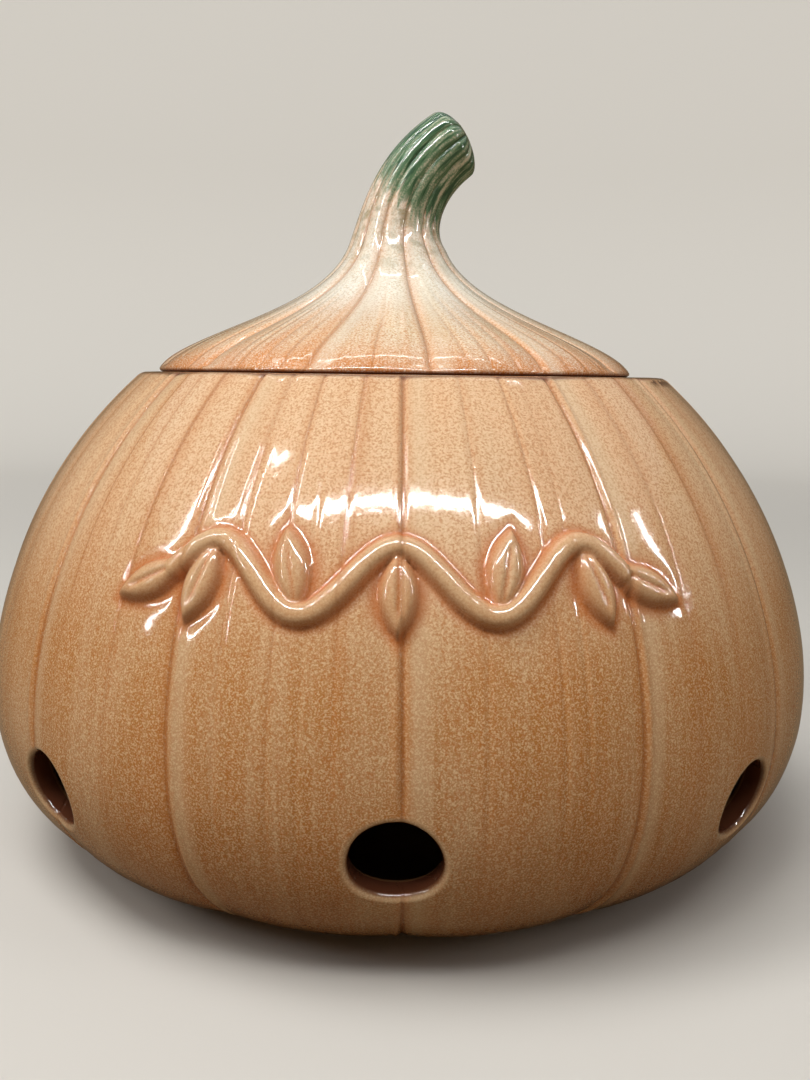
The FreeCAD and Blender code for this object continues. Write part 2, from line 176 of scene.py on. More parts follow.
@dataclass
class Folds:
    """Folds in an onion's skin, each a path of azimuth over the share of the way up.

    A path lies at its azimuth, plus its lean times the square of the share left to the top, plus
    its bow times four times the share times the share left. Its groove is a bell, with a raised
    lip beside it, on the side that the lip's sign gives. The arrays hold one value for each fold,
    in order round the skin. Lips lie and spread in widths of their groove.
    """

    azimuth: np.ndarray
    lean: np.ndarray
    bow: np.ndarray
    depth: np.ndarray
    width: np.ndarray
    lip: np.ndarray
    ends: np.ndarray
    end_fade: float = 0.12
    lip_place: float = 2.1
    lip_spread: float = 1.3

    def paths(self, share: np.ndarray) -> np.ndarray:
        """Azimuth of each fold at each share of the way up, one row for each fold."""
        left = 1.0 - share
        swerve = self.lean[:, None] * left**2 + self.bow[:, None] * 4.0 * share * left
        return self.azimuth[:, None] + swerve

    def grooves(self, azimuth: np.ndarray, share: np.ndarray, radius: np.ndarray) -> np.ndarray:
        """Height of the skin over its smooth form, from the grooves and the lips beside them.

        Args:
            azimuth: Degrees, one for each point.
            share: Share of the way up, one for each point.
            radius: Distance from the axis, one for each point.

        Returns:
            Millimetres, below zero in a groove.
        """
        turn = azimuth - self.paths(share)
        turn -= FULL_TURN * np.round(turn / FULL_TURN)
        aside = np.radians(turn) * radius
        depth, width, lip, ends = (
            column[:, None] for column in (self.depth, self.width, self.lip, self.ends))
        reach = 1.0 - ease(share[None, :], ends - self.end_fade, ends + self.end_fade)
        groove = depth * bump(aside, width)
        side = np.sign(lip) * self.lip_place * width
        raised = np.abs(lip) * bump(aside - side, self.lip_spread * width)
        return ((raised - groove) * reach).sum(axis=0)

    def count_up(self, azimuth: np.ndarray, share: np.ndarray) -> np.ndarray:
        """Number the skin round the axis so that each fold lies on a whole number.

        Between two folds the number grows evenly with the azimuth.

        Args:
            azimuth: Degrees, one for each point, from the seam on.
            share: Share of the way up, one for each point.

        Returns:
            The number at each point.
        """
        paths = self.paths(share)
        paths = np.concatenate([paths[-1:] - FULL_TURN, paths, paths[:1] + FULL_TURN])
        below = (paths <= azimuth).sum(axis=0) - 1
        columns = np.arange(len(azimuth))
        low = paths[below, columns]
        high = paths[below + 1, columns]
        return below + (azimuth - low) / (high - low)


def fold_set(rows: list[FoldRow]) -> Folds:
    """Sort folds round the skin, in order of azimuth from the seam on, and turn them into arrays."""
    return Folds(*np.array(sorted(rows)).T)


@dataclass(frozen=True)
class SmallFolds:
    """Small folds: those drawn at the front, and scattered ones at the sides and back.

    They lean towards the front, as the large ones do. Pairs are the least and the greatest value
    that is drawn: degrees for spacing, millimetres for depth, width and lip, and shares of the
    way up for ends.
    """

    drawn: tuple[float, ...]
    drawn_deg: float
    ends: tuple[float, float]
    clear_deg: float = 2.6
    seam_clear_deg: float = 3.0
    spacing: tuple[float, float] = (4.0, 9.0)
    depth: tuple[float, float] = (0.05, 0.26)
    width: tuple[float, float] = (0.5, 0.9)
    lip: tuple[float, float] = (0.02, 0.09)
    lean: tuple[float, float] = (-1.0, 1.0)
    bow: tuple[float, float] = (-0.4, 0.4)
    lean_to_front: float = 0.03
    front_deg: float = 90.0

    def rows(self, majors: list[float], generator: np.random.Generator) -> list[FoldRow]:
        """Draw the folds.

        Args:
            majors: Azimuths of the large folds, which small ones keep clear of.
            generator: Seeded source of numbers.

        Returns:
            Rows for fold_set.
        """
        spots = list(self.drawn)
        spot = SEAM_DEG + self.seam_clear_deg
        while spot < SEAM_DEG + FULL_TURN - self.seam_clear_deg:
            clear = min(abs(spot - other) for other in [*majors, *spots])
            if abs(spot) > self.drawn_deg and clear > self.clear_deg:
                spots.append(spot)
            spot += generator.uniform(*self.spacing)
        rows = []
        for spot in spots:
            depth, width = generator.uniform(*self.depth), generator.uniform(*self.width)
            lip = generator.choice([-1.0, 1.0]) * generator.uniform(*self.lip)
            forward = self.lean_to_front * spot * (abs(spot) < self.front_deg)
            lean = generator.uniform(*self.lean) - forward
            bow, end = generator.uniform(*self.bow), generator.uniform(*self.ends)
            rows.append((spot, lean, bow, depth, width, lip, end))
        return rows


@dataclass
class Skin:
    """A closed skin under way: its points, its faces and what each point carries."""

    azimuth: np.ndarray
    run: np.ndarray
    sunk: np.ndarray
    faces: list[np.ndarray] = field(default_factory=list)
    wrapped: list[np.ndarray] = field(default_factory=list)

    def add_points(self, azimuth: np.ndarray, run: np.ndarray, sunk: np.ndarray) -> np.ndarray:
        """Append points.

        Args:
            azimuth: Degrees round the axis.
            run: Length along the outline.
            sunk: How far each point lies below the skin, along its normal.

        Returns:
            The new points' numbers, in the shape of azimuth.
        """
        first = len(self.azimuth)
        self.azimuth = np.concatenate([self.azimuth, azimuth.ravel()])
        self.run = np.concatenate([self.run, run.ravel()])
        self.sunk = np.concatenate([self.sunk, sunk.ravel()])
        return np.arange(first, len(self.azimuth)).reshape(azimuth.shape)

    def add_strip(self, rings: np.ndarray, keep: np.ndarray | None = None) -> None:
        """Fill the cells between rings that close on themselves.

        Args:
            rings: Point numbers, one row for each ring.
            keep: Which cells to fill, one row fewer than rings, or all.
        """
        low, high = rings[:-1], rings[1:]
        quads = np.stack([low, np.roll(low, -1, 1), np.roll(high, -1, 1), high], axis=-1)
        ahead = np.zeros(quads.shape, dtype=bool)
        ahead[:, -1, 1:3] = True
        chosen = np.ones(low.shape, dtype=bool) if keep is None else keep
        self.faces.append(quads[chosen])
        self.wrapped.append(ahead[chosen])


def even_rows(marks: list[tuple[float, int]]) -> np.ndarray:
    """Lengths along an outline, evenly spaced between marks.

    Args:
        marks: Each mark's length and how many rows lead to it from the mark before.

    Returns:
        Lengths in rising order.
    """
    rows = [np.array([marks[0][0]])]
    for (start, _), (end, count) in zip(marks, marks[1:]):
        rows.append(np.linspace(start, end, count + 1)[1:])
    return np.concatenate(rows)


def start_skin(columns: np.ndarray, rows: np.ndarray) -> tuple[Skin, np.ndarray]:
    """A skin whose rows close to one point at each end of the outline.

    Args:
        columns: Azimuths round the axis.
        rows: Lengths along the outline.

    Returns:
        The skin without faces, and its point numbers, one row for each ring.
    """
    azimuth, run = np.meshgrid(columns, rows)
    grid = np.arange(run.size).reshape(run.shape)
    grid[0, :] = grid[0, 0]
    grid[-1, :] = grid[-1, 0]
    return Skin(azimuth.ravel(), run.ravel(), np.zeros(run.size)), grid


def block_edge(grid: np.ndarray, low: int, high: int, span: tuple[int, int]) -> np.ndarray:
    """Point numbers round a block of the grid, from the first column of its low row on.

    Args:
        grid: Point numbers of the whole skin.
        low: Row that the walk starts on, which may be the greater one.
        high: Row across from it.
        span: First and last column.

    Returns:
        The numbers in order round the block.
    """
    first, last = span
    step = 1 if high > low else -1
    across, up = np.arange(first, last), np.arange(low, high, step)
    sides = (grid[low, across], grid[up, last], grid[high, across[::-1] + 1], grid[up[::-1] + step, first])
    return np.concatenate(sides)


def dense_columns(spacing: float, fine: list[tuple[float, float, float]]) -> np.ndarray:
    """Azimuths of a full turn, closer together where the skin has detail.

    The number of columns per degree is one over the spacing there. Its running sum is cut into
    equal shares.

    Args:
        spacing: Degrees between columns where there is no detail.
        fine: First azimuth, last azimuth and spacing of each stretch with detail.

    Returns:
        Azimuths from the seam on, without its repeat.
    """
    azimuth = np.linspace(SEAM_DEG, SEAM_DEG + FULL_TURN, COLUMN_SAMPLES + 1)
    density = np.full(azimuth.shape, 1.0 / spacing)
    for first, last, close in fine:
        density[(azimuth >= first) & (azimuth <= last)] = 1.0 / close
    window = np.full(2 * COLUMN_BLUR + 1, 1.0 / (2 * COLUMN_BLUR + 1))
    smooth = np.convolve(np.pad(density, COLUMN_BLUR, mode="wrap"), window, mode="valid")
    total = np.concatenate([[0.0], np.cumsum(smooth[:-1])]) * (azimuth[1] - azimuth[0])
    count = int(round(total[-1]))
    return np.interp(np.linspace(0.0, total[-1], count + 1)[:-1], total, azimuth)


def make_mesh(
    name: str, points: np.ndarray, skin: Skin, zones: dict[str, np.ndarray], numbers: np.ndarray,
    turns: np.ndarray,
) -> bpy.types.Object:
    """Turn a skin into a Blender mesh, without the points that no face uses.

    Args:
        name: Name of the piece.
        points: Metres, one row for each point.
        skin: The faces between the points.
        zones: Values that the glaze reads, one for each point.
        numbers: Fold numbers of each point, a column for large folds and one for small ones.
        turns: How far each column of numbers grows in a full turn.

    Returns:
        The new object, at the origin.
    """
    faces = np.concatenate(skin.faces)
    ahead = np.concatenate(skin.wrapped)
    used, corners = np.unique(faces, return_inverse=True)
    corners = corners.reshape(faces.shape)
    mesh = bpy.data.meshes.new(name)
    three = (faces[:, 0] == faces[:, 1]) | (faces[:, 2] == faces[:, 3])
    keep = np.ones(faces.shape, dtype=bool)
    keep[faces[:, 0] == faces[:, 1], 1] = False
    keep[faces[:, 2] == faces[:, 3], 3] = False
    sizes = np.where(three, 3, 4)
    mesh.vertices.add(len(used))
    mesh.vertices.foreach_set("co", points[used].astype(np.float32).ravel())
    mesh.loops.add(int(sizes.sum()))
    mesh.loops.foreach_set("vertex_index", corners[keep].astype(np.int32))
    mesh.polygons.add(len(faces))
    mesh.polygons.foreach_set("loop_start", np.concatenate([[0], np.cumsum(sizes)[:-1]]).astype(np.int32))
    mesh.polygons.foreach_set("use_smooth", np.ones(len(faces), dtype=bool))
    for zone, values in zones.items():
        kind, slot = ("FLOAT_VECTOR", "vector") if values.ndim == 2 else ("FLOAT", "value")
        layer = mesh.attributes.new(zone, kind, "POINT")
        layer.data.foreach_set(slot, values[used].astype(np.float32).ravel())
    corner_numbers = numbers[faces[keep]] + ahead[keep][:, None] * turns
    mesh.uv_layers.new(name="folds").data.foreach_set("uv", corner_numbers.astype(np.float32).ravel())
    mesh.update()
    mesh.validate()
    piece = bpy.data.objects.new(name, mesh)
    bpy.context.collection.objects.link(piece)
    return piece


@dataclass
class VineRelief:
    """A raised vine of plain leaves on a wavy stem, in the band round the jar's front.

    It is drawn on the skin laid flat: x is azimuth times the radius, y the length up the outline.
    Each shape gives how far a point lies outside its edge, below zero inside. The least of them
    sets the height: full height times one less a power of the way out, to a small power.
    """

    half_length: float = 50.0
    wave: float = 7.5
    half_wave: float = 20.0
    stem_width: float = 2.6
    height: float = 2.3
    leaf_half: float = 9.4
    leaf_width: float = 4.1
    leaf_reach: float = 10.0
    leaf_lean: float = 14.0
    end_reach: float = 6.0
    end_droop: float = 30.0
    leaf_slope: float = 0.62
    rib_width: float = 0.55
    rib_depth: float = 0.45
    rib_ends: tuple[float, float] = (6.5, 3.0)
    rib_inset: float = 0.4
    flatness: float = 2.6
    fullness: float = 0.62
    moat_depth: float = 0.18
    moat_place: float = 0.9
    valley_width: float = 1.3
    line_points: int = 420

    def stem_line(self, x: np.ndarray) -> np.ndarray:
        """The stem's middle line: a cosine wave with a turn at the front."""
        return self.wave * np.cos(np.pi * x / self.half_wave)

    def leaves(self) -> np.ndarray:
        """Rows of each leaf's middle x, middle y and angle: one in each hollow, one at each end."""
        turns = np.array([-2.0, -1.0, 0.0, 1.0, 2.0, 2.5, -2.5])
        foot_x = turns * self.half_wave
        foot_y = self.stem_line(foot_x)
        angles = -np.sign(foot_y) * (90.0 - self.leaf_lean * np.sign(turns))
        angles[-2:] = (-self.end_droop, self.end_droop - 180.0)
        reach = np.full(len(turns), self.leaf_reach)
        reach[-2:] = self.end_reach
        lean = np.radians(angles)
        return np.stack([foot_x + reach * np.cos(lean), foot_y + reach * np.sin(lean), lean], axis=1)

    def edge_distance(self, x: np.ndarray, y: np.ndarray) -> tuple[np.ndarray, np.ndarray]:
        """How far points lie outside the vine's edge, and how near to a leaf's middle rib.

        Args:
            x: Millimetres round the jar.
            y: Millimetres up the jar.

        Returns:
            Distance outside the edge, and the rib's depth as a share of one.
        """
        along = np.linspace(-self.half_length, self.half_length, self.line_points)
        gaps = np.hypot(x[:, None] - along, y[:, None] - self.stem_line(along)) - self.stem_width
        outside = gaps.min(axis=1)
        rib = np.zeros_like(x)
        for middle_x, middle_y, lean in self.leaves():
            forward = (x - middle_x) * math.cos(lean) + (y - middle_y) * math.sin(lean)
            aside = (y - middle_y) * math.cos(lean) - (x - middle_x) * math.sin(lean)
            leaf = np.abs(aside) / self.leaf_width + (forward / self.leaf_half) ** 2 - 1.0
            leaf *= self.leaf_slope * self.leaf_width
            on_leaf = (leaf < -self.rib_inset) & (leaf < outside)
            rib = np.maximum(rib, bump(aside, self.rib_width) * on_leaf * ease(forward, *self.rib_ends))
            outside = np.minimum(outside, leaf)
        return outside, rib

    def raise_skin(self, x: np.ndarray, y: np.ndarray) -> tuple[np.ndarray, np.ndarray, np.ndarray]:
        """Height of the vine over the skin, and where the glaze gathers or thins on it.

        Args:
            x: Millimetres round the jar.
            y: Millimetres up the jar.

        Returns:
            Height in millimetres, share of crest and share of valley.
        """
        outside, rib = self.edge_distance(x, y)
        out = np.clip(1.0 + outside / self.stem_width, 0.0, 1.0)
        rise = (1.0 - out**self.flatness) ** self.fullness
        valley = bump(outside - 0.2, self.valley_width)
        moat = self.moat_depth * bump(outside - self.moat_place, 1.0)
        height = self.height * rise - moat - self.rib_depth * rib
        return height, rise * (1.0 - rib), np.maximum(valley, 0.8 * rib)


@dataclass
class Vents:
    """Round air holes through the wall, square to it, each with a rounded lip.

    Rings of points line a hole. On a wall they lie at the shares of spread between the hole and
    the edge of its block, and on a lip at the turns. A painted highlight on the lip starts with
    the last spread ring of the outer wall, and painted shade inside the hole with the third ring
    of the outer lip.
    """

    count: int = 8
    radius: float = 10.0
    lip: float = 1.5
    inner_lip: float = 1.0
    block_deg: float = 7.6
    block_half: float = 15.0
    block_rows: int = 14
    spread: tuple[float, ...] = (0.8, 0.6, 0.42, 0.26, 0.13, 0.05)
    turns_deg: tuple[float, ...] = (0.0, 22.0, 44.0, 66.0, 90.0)
    # Painted highlight along the rounded lip, one share for each ring.
    lip_highlight_shares: tuple[float, ...] = (0.0, 0.4, 1.0, 0.8, 0.2)
    # Painted shade inside the hole, one share for each ring.
    bore_shade_shares: tuple[float, ...] = (0.3, 0.8, 1.0, 1.0, 1.0, 1.0, 1.0, 1.0)
    flat_foot: float = 0.45
    out_of_round: tuple[tuple[int, float], ...] = ((2, 0.14), (3, 0.09), (5, 0.05))

    def hole_radius(self, angle: np.ndarray, seed: int) -> np.ndarray:
        """The hole's radius round its rim: a circle cut by hand, slightly out of true.

        Cosine waves with two, three and five turns round the hole are added, each with a size and
        a start of its own, and the foot of the hole is flattened by the cube of the sine.

        Args:
            angle: Radians round the hole.
            seed: Which hole it is.

        Returns:
            Millimetres.
        """
        draws = np.random.default_rng(100 + seed).uniform(-1.0, 1.0, 6).reshape(3, 2)
        drift = sum(
            depth * size * np.cos(waves * angle + 3.0 * start)
            for (size, start), (waves, depth) in zip(draws, self.out_of_round))
        flat = self.flat_foot * np.maximum(0.0, -np.sin(angle)) ** 3
        return self.radius + drift - flat


@dataclass
class Jar:
    """The round jar: skin, rim, inside, vents and foot, closed into one shell."""

    belly_radius: float = 119.65
    belly_height: float = 47.2
    height: float = 134.0
    under_arc: float = 54.0
    under_deg: float = -18.0
    over_arc: float = 90.0
    over_deg: float = 14.0
    shoulder_arc: float = 128.0
    wall: float = 7.0
    foot_height: float = 1.5
    foot_outer: float = 78.0
    foot_inner: float = 68.0
    foot_round: float = 0.6
    floor: float = 8.5
    mouth: float = 65.0
    mouth_depth: float = 3.0
    mouth_round: float = 0.9
    rim_round: float = 3.2
    throat_height: float = 122.0
    lobe: float = 0.8
    lobe_power: float = 2.6
    low_lobe: float = 0.5
    low_lobe_from: tuple[float, float] = (26.0, 6.0)
    fold_depth: float = 0.45
    fold_lip: float = 0.34
    small_folds_from: tuple[float, float] = (22.0, 46.0)
    unevenness: float = 0.12
    vent_height: float = 34.8
    vent_smooth: float = 0.85
    vent_clear: float = 11.0
    vent_fade: float = 5.0
    relief_low: float = 77.0
    relief_high: float = 108.0
    relief_middle: float = 92.5
    relief_deg: float = 34.0
    chip_deg: float = 64.0
    chip_half_deg: float = 8.0
    chip_drop: float = 2.6
    chip_depth: float = 0.35
    plain_step: float = 1.35
    fold_step: float = 0.55
    relief_step: float = 0.28
    vents: Vents = field(default_factory=Vents)
    vine: VineRelief = field(default_factory=VineRelief)

    def arc_centres(self) -> dict[str, Spot]:
        """Centres of the four arcs of the wall, each tangent to the next."""
        over = math.radians(self.over_deg)
        centres = {
            "under": (self.belly_radius - self.under_arc, self.belly_height),
            "over": (self.belly_radius - self.over_arc, self.belly_height),
        }
        centres["base"] = self.base_centre(self.under_arc, self.foot_height)
        joint = on_arc(centres["over"], self.over_arc, over)
        centres["shoulder"] = on_arc(joint, -self.shoulder_arc, over)
        return centres

    def base_centre(self, under_arc: float, level: float) -> Spot:
        """Centre of the arc that runs from the end of the under arc to a level, tangent to both."""
        under = math.radians(self.under_deg)
        joint = on_arc((self.belly_radius - self.under_arc, self.belly_height), under_arc, under)
        base_arc = (joint[1] - level) / (1.0 + math.sin(under))
        return (joint[0] - base_arc * math.cos(under), level + base_arc)

    def outline(self) -> Outline:
        """The whole section: underside, foot, wall, rim, mouth, inside and floor."""
        centres = self.arc_centres()
        base, shoulder = centres["base"], centres["shoulder"]
        base_arc = base[1] - self.foot_height
        base_deg = -math.degrees(math.acos((self.foot_outer - base[0]) / base_arc))
        rise = math.asin((self.height - shoulder[1]) / self.shoulder_arc)
        inward = self.rim_round * (1.0 - math.sin(rise)) / math.cos(rise)
        rim = (shoulder[0] + self.shoulder_arc * math.cos(rise) - inward, self.height - self.rim_round)
        rim_side = on_arc(rim, self.rim_round, rise)
        side_deg = math.degrees(math.atan2(rim_side[1] - shoulder[1], rim_side[0] - shoulder[0]))
        inner_shoulder = self.shoulder_arc - self.wall
        throat_rise = math.asin((self.throat_height - shoulder[1]) / inner_shoulder)
        throat = (shoulder[0] + inner_shoulder * math.cos(throat_rise), self.throat_height)
        inner_base = self.base_centre(self.under_arc - self.wall, self.floor)
        mouth_end = (self.mouth, self.height - self.mouth_depth)
        turn, lip = self.foot_round, self.mouth_round
        return Outline({
            "underside": line_run((0.0, self.foot_height), (self.foot_inner, self.foot_height)),
            "foot_inside": line_run((self.foot_inner, self.foot_height), (self.foot_inner, turn)),
            "foot_inner_turn": arc_run((self.foot_inner + turn, turn), turn, 180.0, 270.0),
            "foot_face": line_run((self.foot_inner + turn, 0.0), (self.foot_outer - turn, 0.0)),
            "foot_outer_turn": arc_run((self.foot_outer - turn, turn), turn, 270.0, 360.0),
            "foot_outside": line_run((self.foot_outer, turn), (self.foot_outer, self.foot_height)),
            "base": arc_run(base, base_arc, base_deg, self.under_deg),
            "under": arc_run(centres["under"], self.under_arc, self.under_deg, 0.0),
            "over": arc_run(centres["over"], self.over_arc, 0.0, self.over_deg),
            "shoulder": arc_run(shoulder, self.shoulder_arc, self.over_deg, side_deg),
            "rim": arc_run(rim, self.rim_round, math.degrees(rise), 90.0),
            "rim_top": line_run((rim[0], self.height), (self.mouth + lip, self.height)),
            "mouth_turn": arc_run((self.mouth + lip, self.height - lip), lip, 90.0, 180.0),
            "mouth": line_run((self.mouth, self.height - lip), mouth_end),
            "throat": line_run(mouth_end, throat),
            "inner_shoulder": arc_run(shoulder, inner_shoulder, math.degrees(throat_rise), self.over_deg),
            "inner_over": arc_run(centres["over"], self.over_arc - self.wall, self.over_deg, 0.0),
            "inner_under": arc_run(centres["under"], self.under_arc - self.wall, 0.0, self.under_deg),
            "inner_base": arc_run(inner_base, inner_base[1] - self.floor, self.under_deg, -90.0),
            "floor": line_run((inner_base[0], self.floor), (0.0, self.floor)),
        })

    def folds(self) -> tuple[Folds, Folds]:
        """Large folds, which part the jar into lobes, and small ones between them."""
        generator = np.random.default_rng(11)
        majors = [
            (-153.0, 0.8, 0.3), (-127.0, -1.0, 0.4), (-100.0, 1.0, -0.3), (-74.0, 2.0, 0.5),
            (-48.3, 2.4, 0.5), (-25.2, 3.6, -0.2), (0.3, 0.8, 0.1), (26.2, -2.2, 0.9),
            (51.8, -2.6, 0.3), (77.0, -1.6, -0.4), (103.0, -0.8, 0.5), (129.0, 0.8, 0.2),
            (155.0, 0.6, -0.4), (180.5, -0.5, 0.3),
        ]
        rows = []
        for place, (azimuth, lean, bow) in enumerate(majors):
            lip = self.fold_lip if place % 2 else -self.fold_lip
            rows.append((azimuth, lean, bow, self.fold_depth, generator.uniform(0.6, 0.8), lip, PAST_END))
        drawn = (-42.5, -38.5, -33.0, -19.0, -13.2, -10.0, -6.2, 5.0, 9.5, 16.8, 20.0, 35.0, 42.5)
        minor = SmallFolds(drawn, drawn_deg=46.0, ends=(0.75, PAST_END))
        return fold_set(rows), fold_set(minor.rows([major[0] for major in majors], generator))

    def vent_places(self, outline: Outline) -> tuple[float, float]:
        """Lengths along the outline at the middle of the vents, outside and inside."""
        rise = math.asin((self.vent_height - self.belly_height) / self.under_arc)
        centre = self.arc_centres()["under"]
        arcs = (self.under_arc, self.under_arc - self.wall)
        outer, inner = (outline.nearest(*on_arc(centre, arc, rise)) for arc in arcs)
        return outer, inner

    def relief_bands(self, outline: Outline) -> dict[str, float]:
        """Lengths along the outline at the low edge, high edge and middle of the vine's band.

        A height on the shoulder lies past the shoulder's start by its arc's radius times the angle
        turned, and that angle is the arc sine of the height over the arc's centre by the radius.
        """
        start = math.radians(self.over_deg)
        centre = self.arc_centres()["shoulder"][1]
        levels = {"low": self.relief_low, "high": self.relief_high, "middle": self.relief_middle}
        turned = {name: math.asin((level - centre) / self.shoulder_arc) for name, level in levels.items()}
        passed = {name: self.shoulder_arc * (angle - start) for name, angle in turned.items()}
        return {name: outline.marks["over"] + length for name, length in passed.items()}

    def grid_rows(
        self, marks: dict[str, float], vents: tuple[float, float], bands: dict[str, float]
    ) -> np.ndarray:
        """Lengths along the outline of the grid's rows, closest together in the vine's band."""
        half, steps = self.vents.block_half, self.vents.block_rows
        outer, inner = vents
        return even_rows([
            (0.0, 0), (marks["underside"], 4), (marks["foot_inside"], 1), (marks["foot_inner_turn"], 2),
            (marks["foot_face"], 3), (marks["foot_outer_turn"], 2), (marks["foot_outside"], 1),
            (outer - half, 12), (outer + half, steps), (marks["over"], 8), (bands["low"], 4),
            (bands["high"], 56), (marks["shoulder"], 13), (marks["rim"], 6), (marks["rim_top"], 3),
            (marks["mouth_turn"], 3), (marks["mouth"], 1), (marks["throat"], 3),
            (marks["inner_shoulder"], 6), (inner - half, 6), (inner + half, steps),
            (marks["inner_base"], 6), (marks["floor"], 4),
        ])

    def build(self) -> tuple[bpy.types.Object, np.ndarray]:
        """Make the jar's mesh.

        The skin is a grid of rows along the outline and columns round the axis. Round each vent
        a block of cells is left out of the outer and the inner wall, and rings of points lead from
        the edge of the outer block over the lip, through the wall and out to the inner block.

        Returns:
            The object, and for each face the number of its finish.
        """
        outline = self.outline()
        large, small = self.folds()
        vents = self.vent_places(outline)
        bands = self.relief_bands(outline)
        rows = self.grid_rows(outline.marks, vents, bands)
        paths = large.paths(np.array([0.0, 0.5, 1.0]))
        fine = [(path.min() - 1.4, path.max() + 1.4, self.fold_step) for path in paths]
        relief = (-self.relief_deg, self.relief_deg, self.relief_step)
        columns = dense_columns(self.plain_step, [*fine, relief])
        skin, grid = start_skin(columns, rows)
        keep = np.ones((len(rows) - 1, len(columns)), dtype=bool)
        half = self.vents.block_half
        outer, inner = (
            (int(np.abs(rows - (vent - half)).argmin()), int(np.abs(rows - (vent + half)).argmin()))
            for vent in vents)
        through: list[np.ndarray] = []
        for number in range(self.vents.count):
            centre_deg = FULL_TURN * number / self.vents.count
            centre_deg -= FULL_TURN * (centre_deg >= SEAM_DEG + FULL_TURN)
            first = int(np.abs(columns - (centre_deg - self.vents.block_deg)).argmin())
            last = int(np.abs(columns - (centre_deg + self.vents.block_deg)).argmin())
            for low, high in (outer, inner):
                keep[low:high, first:last] = False
            edges = [block_edge(grid, *outer, (first, last)), block_edge(grid, *inner[::-1], (first, last))]
            rings = self.vent_rings(skin, outline, edges, vents, centre_deg, number)
            skin.add_strip(rings)
            skin.wrapped[-1][:] = False
            through.append(rings)
        skin.add_strip(grid, keep)
        return self.shape(skin, outline, (large, small), bands, through, vents[0])

    def vent_rings(
        self, skin: Skin, outline: Outline, edges: list[np.ndarray], centres: tuple[float, float],
        centre_deg: float, number: int,
    ) -> np.ndarray:
        """Points that line one vent, ring by ring from the outer wall to the inner one.

        On each wall a ring lies between the edge of its block and the hole: the offset from the
        hole's centre is a share of the edge's offset plus the rest of the hole's. On the lip the
        rings follow a quarter circle: the hole's radius plus the lip times one less the sine of
        the turn, and the depth is the lip times one less its cosine.

        Args:
            skin: Takes the new points.
            outline: The jar's section.
            edges: Point numbers round the block of cells left out, outside and inside.
            centres: The hole's place along the outline, outside and inside.
            centre_deg: The hole's azimuth.
            number: Which hole it is.

        Returns:
            Point numbers, one row for each ring.
        """
        rings = [edges[0]]
        sides = ((centres[0], 1.0, self.vents.lip), (centres[1], -1.0, self.vents.inner_lip))
        for side, (centre, upward, lip) in enumerate(sides):
            radius, _, _, _ = outline.at(skin.run[edges[side]])
            aside = np.radians(skin.azimuth[edges[side]] - centre_deg) * radius
            above = (skin.run[edges[side]] - centre) * upward
            angle = np.arctan2(above, aside)
            hole = self.vents.hole_radius(angle, number)
            reach = np.hypot(aside, above)
            spread = np.array(self.vents.spread)[:, None]
            wide = spread * reach + (1.0 - spread) * (hole + lip)
            turn = np.radians(np.array(self.vents.turns_deg))[:, None]
            round_radius = hole + lip * (1.0 - np.sin(turn))
            depth = np.broadcast_to(lip * (1.0 - np.cos(turn)), round_radius.shape)
            ring_radius = np.concatenate([wide, round_radius])
            sunk = np.concatenate([np.zeros_like(wide), depth])
            run = centre + upward * ring_radius * np.sin(angle)
            local, _, _, _ = outline.at(run)
            azimuth = centre_deg + np.degrees(ring_radius * np.cos(angle) / local)
            made = skin.add_points(azimuth, run, sunk)
            rings.extend(made if side == 0 else made[::-1])
        rings.append(edges[1])
        return np.array(rings)

    def swell(
        self, skin: Skin, outline: Outline, folds: tuple[Folds, Folds], number: np.ndarray, share: np.ndarray,
        vent_run: float,
    ) -> np.ndarray:
        """Height of the skin over its smooth form: lobes, folds and a slight unevenness.

        A lobe falls away by a power of the distance from its crest towards the next large fold,
        and slow waves round the jar and up it make the skin uneven. The sum never rises above the
        smooth form, and the folds fade where they come near a vent.

        Args:
            skin: All points.
            outline: The jar's section.
            folds: Large folds and small ones.
            number: Number of the large fold at each point.
            share: Share of the way up the wall at each point.
            vent_run: Place of the vents along the outline, outside.

        Returns:
            Millimetres, zero or less.
        """
        large, small = folds
        azimuth, run, marks = skin.azimuth, skin.run, outline.marks
        radius, height, _, _ = outline.at(run)
        turn = np.radians(azimuth)
        fall = np.abs(2.0 * (number - np.floor(number)) - 1.0) ** self.lobe_power
        deeper_low = 1.0 + self.low_lobe * ease(height, *self.low_lobe_from)
        depth = self.lobe * (radius / self.belly_radius) * deeper_low
        waves = np.sin(5 * turn + 0.031 * height) + np.sin(9 * turn - 0.05 * height + 1.0)
        swell = self.unevenness * (waves - 2.0) - fall * depth
        grooves = small.grooves(azimuth, share, radius) * ease(height, *self.small_folds_from)
        grooves += large.grooves(azimuth, share, radius)
        pitch = FULL_TURN / self.vents.count
        from_vent = (azimuth + pitch / 2.0) % pitch - pitch / 2.0
        beside = np.hypot(np.radians(from_vent) * radius, run - vent_run)
        smoothed = self.vent_smooth * bump(np.maximum(beside - self.vent_clear, 0.0), self.vent_fade)
        swell += grooves * (1.0 - smoothed)
        begins = ease(run, marks["foot_outside"], marks["foot_outside"] + 9.0)
        ends = ease(run, marks["shoulder"] + 1.0, marks["rim"] + 1.5)
        return np.minimum(swell, 0.0) * begins * (1.0 - ends)

    def chip(self, azimuth: np.ndarray, run: np.ndarray, rim_run: float) -> np.ndarray:
        """Share of the rim's chip at each point: two bells that cross, cut off at a ragged edge."""
        ragged = 0.5 * np.sin(1.9 * azimuth) + 0.3 * np.sin(4.3 * azimuth + 1.0)
        across = bump(run - rim_run + self.chip_drop + ragged, 1.0)
        return ease(across * bump(azimuth - self.chip_deg, self.chip_half_deg), 0.3, 0.5)

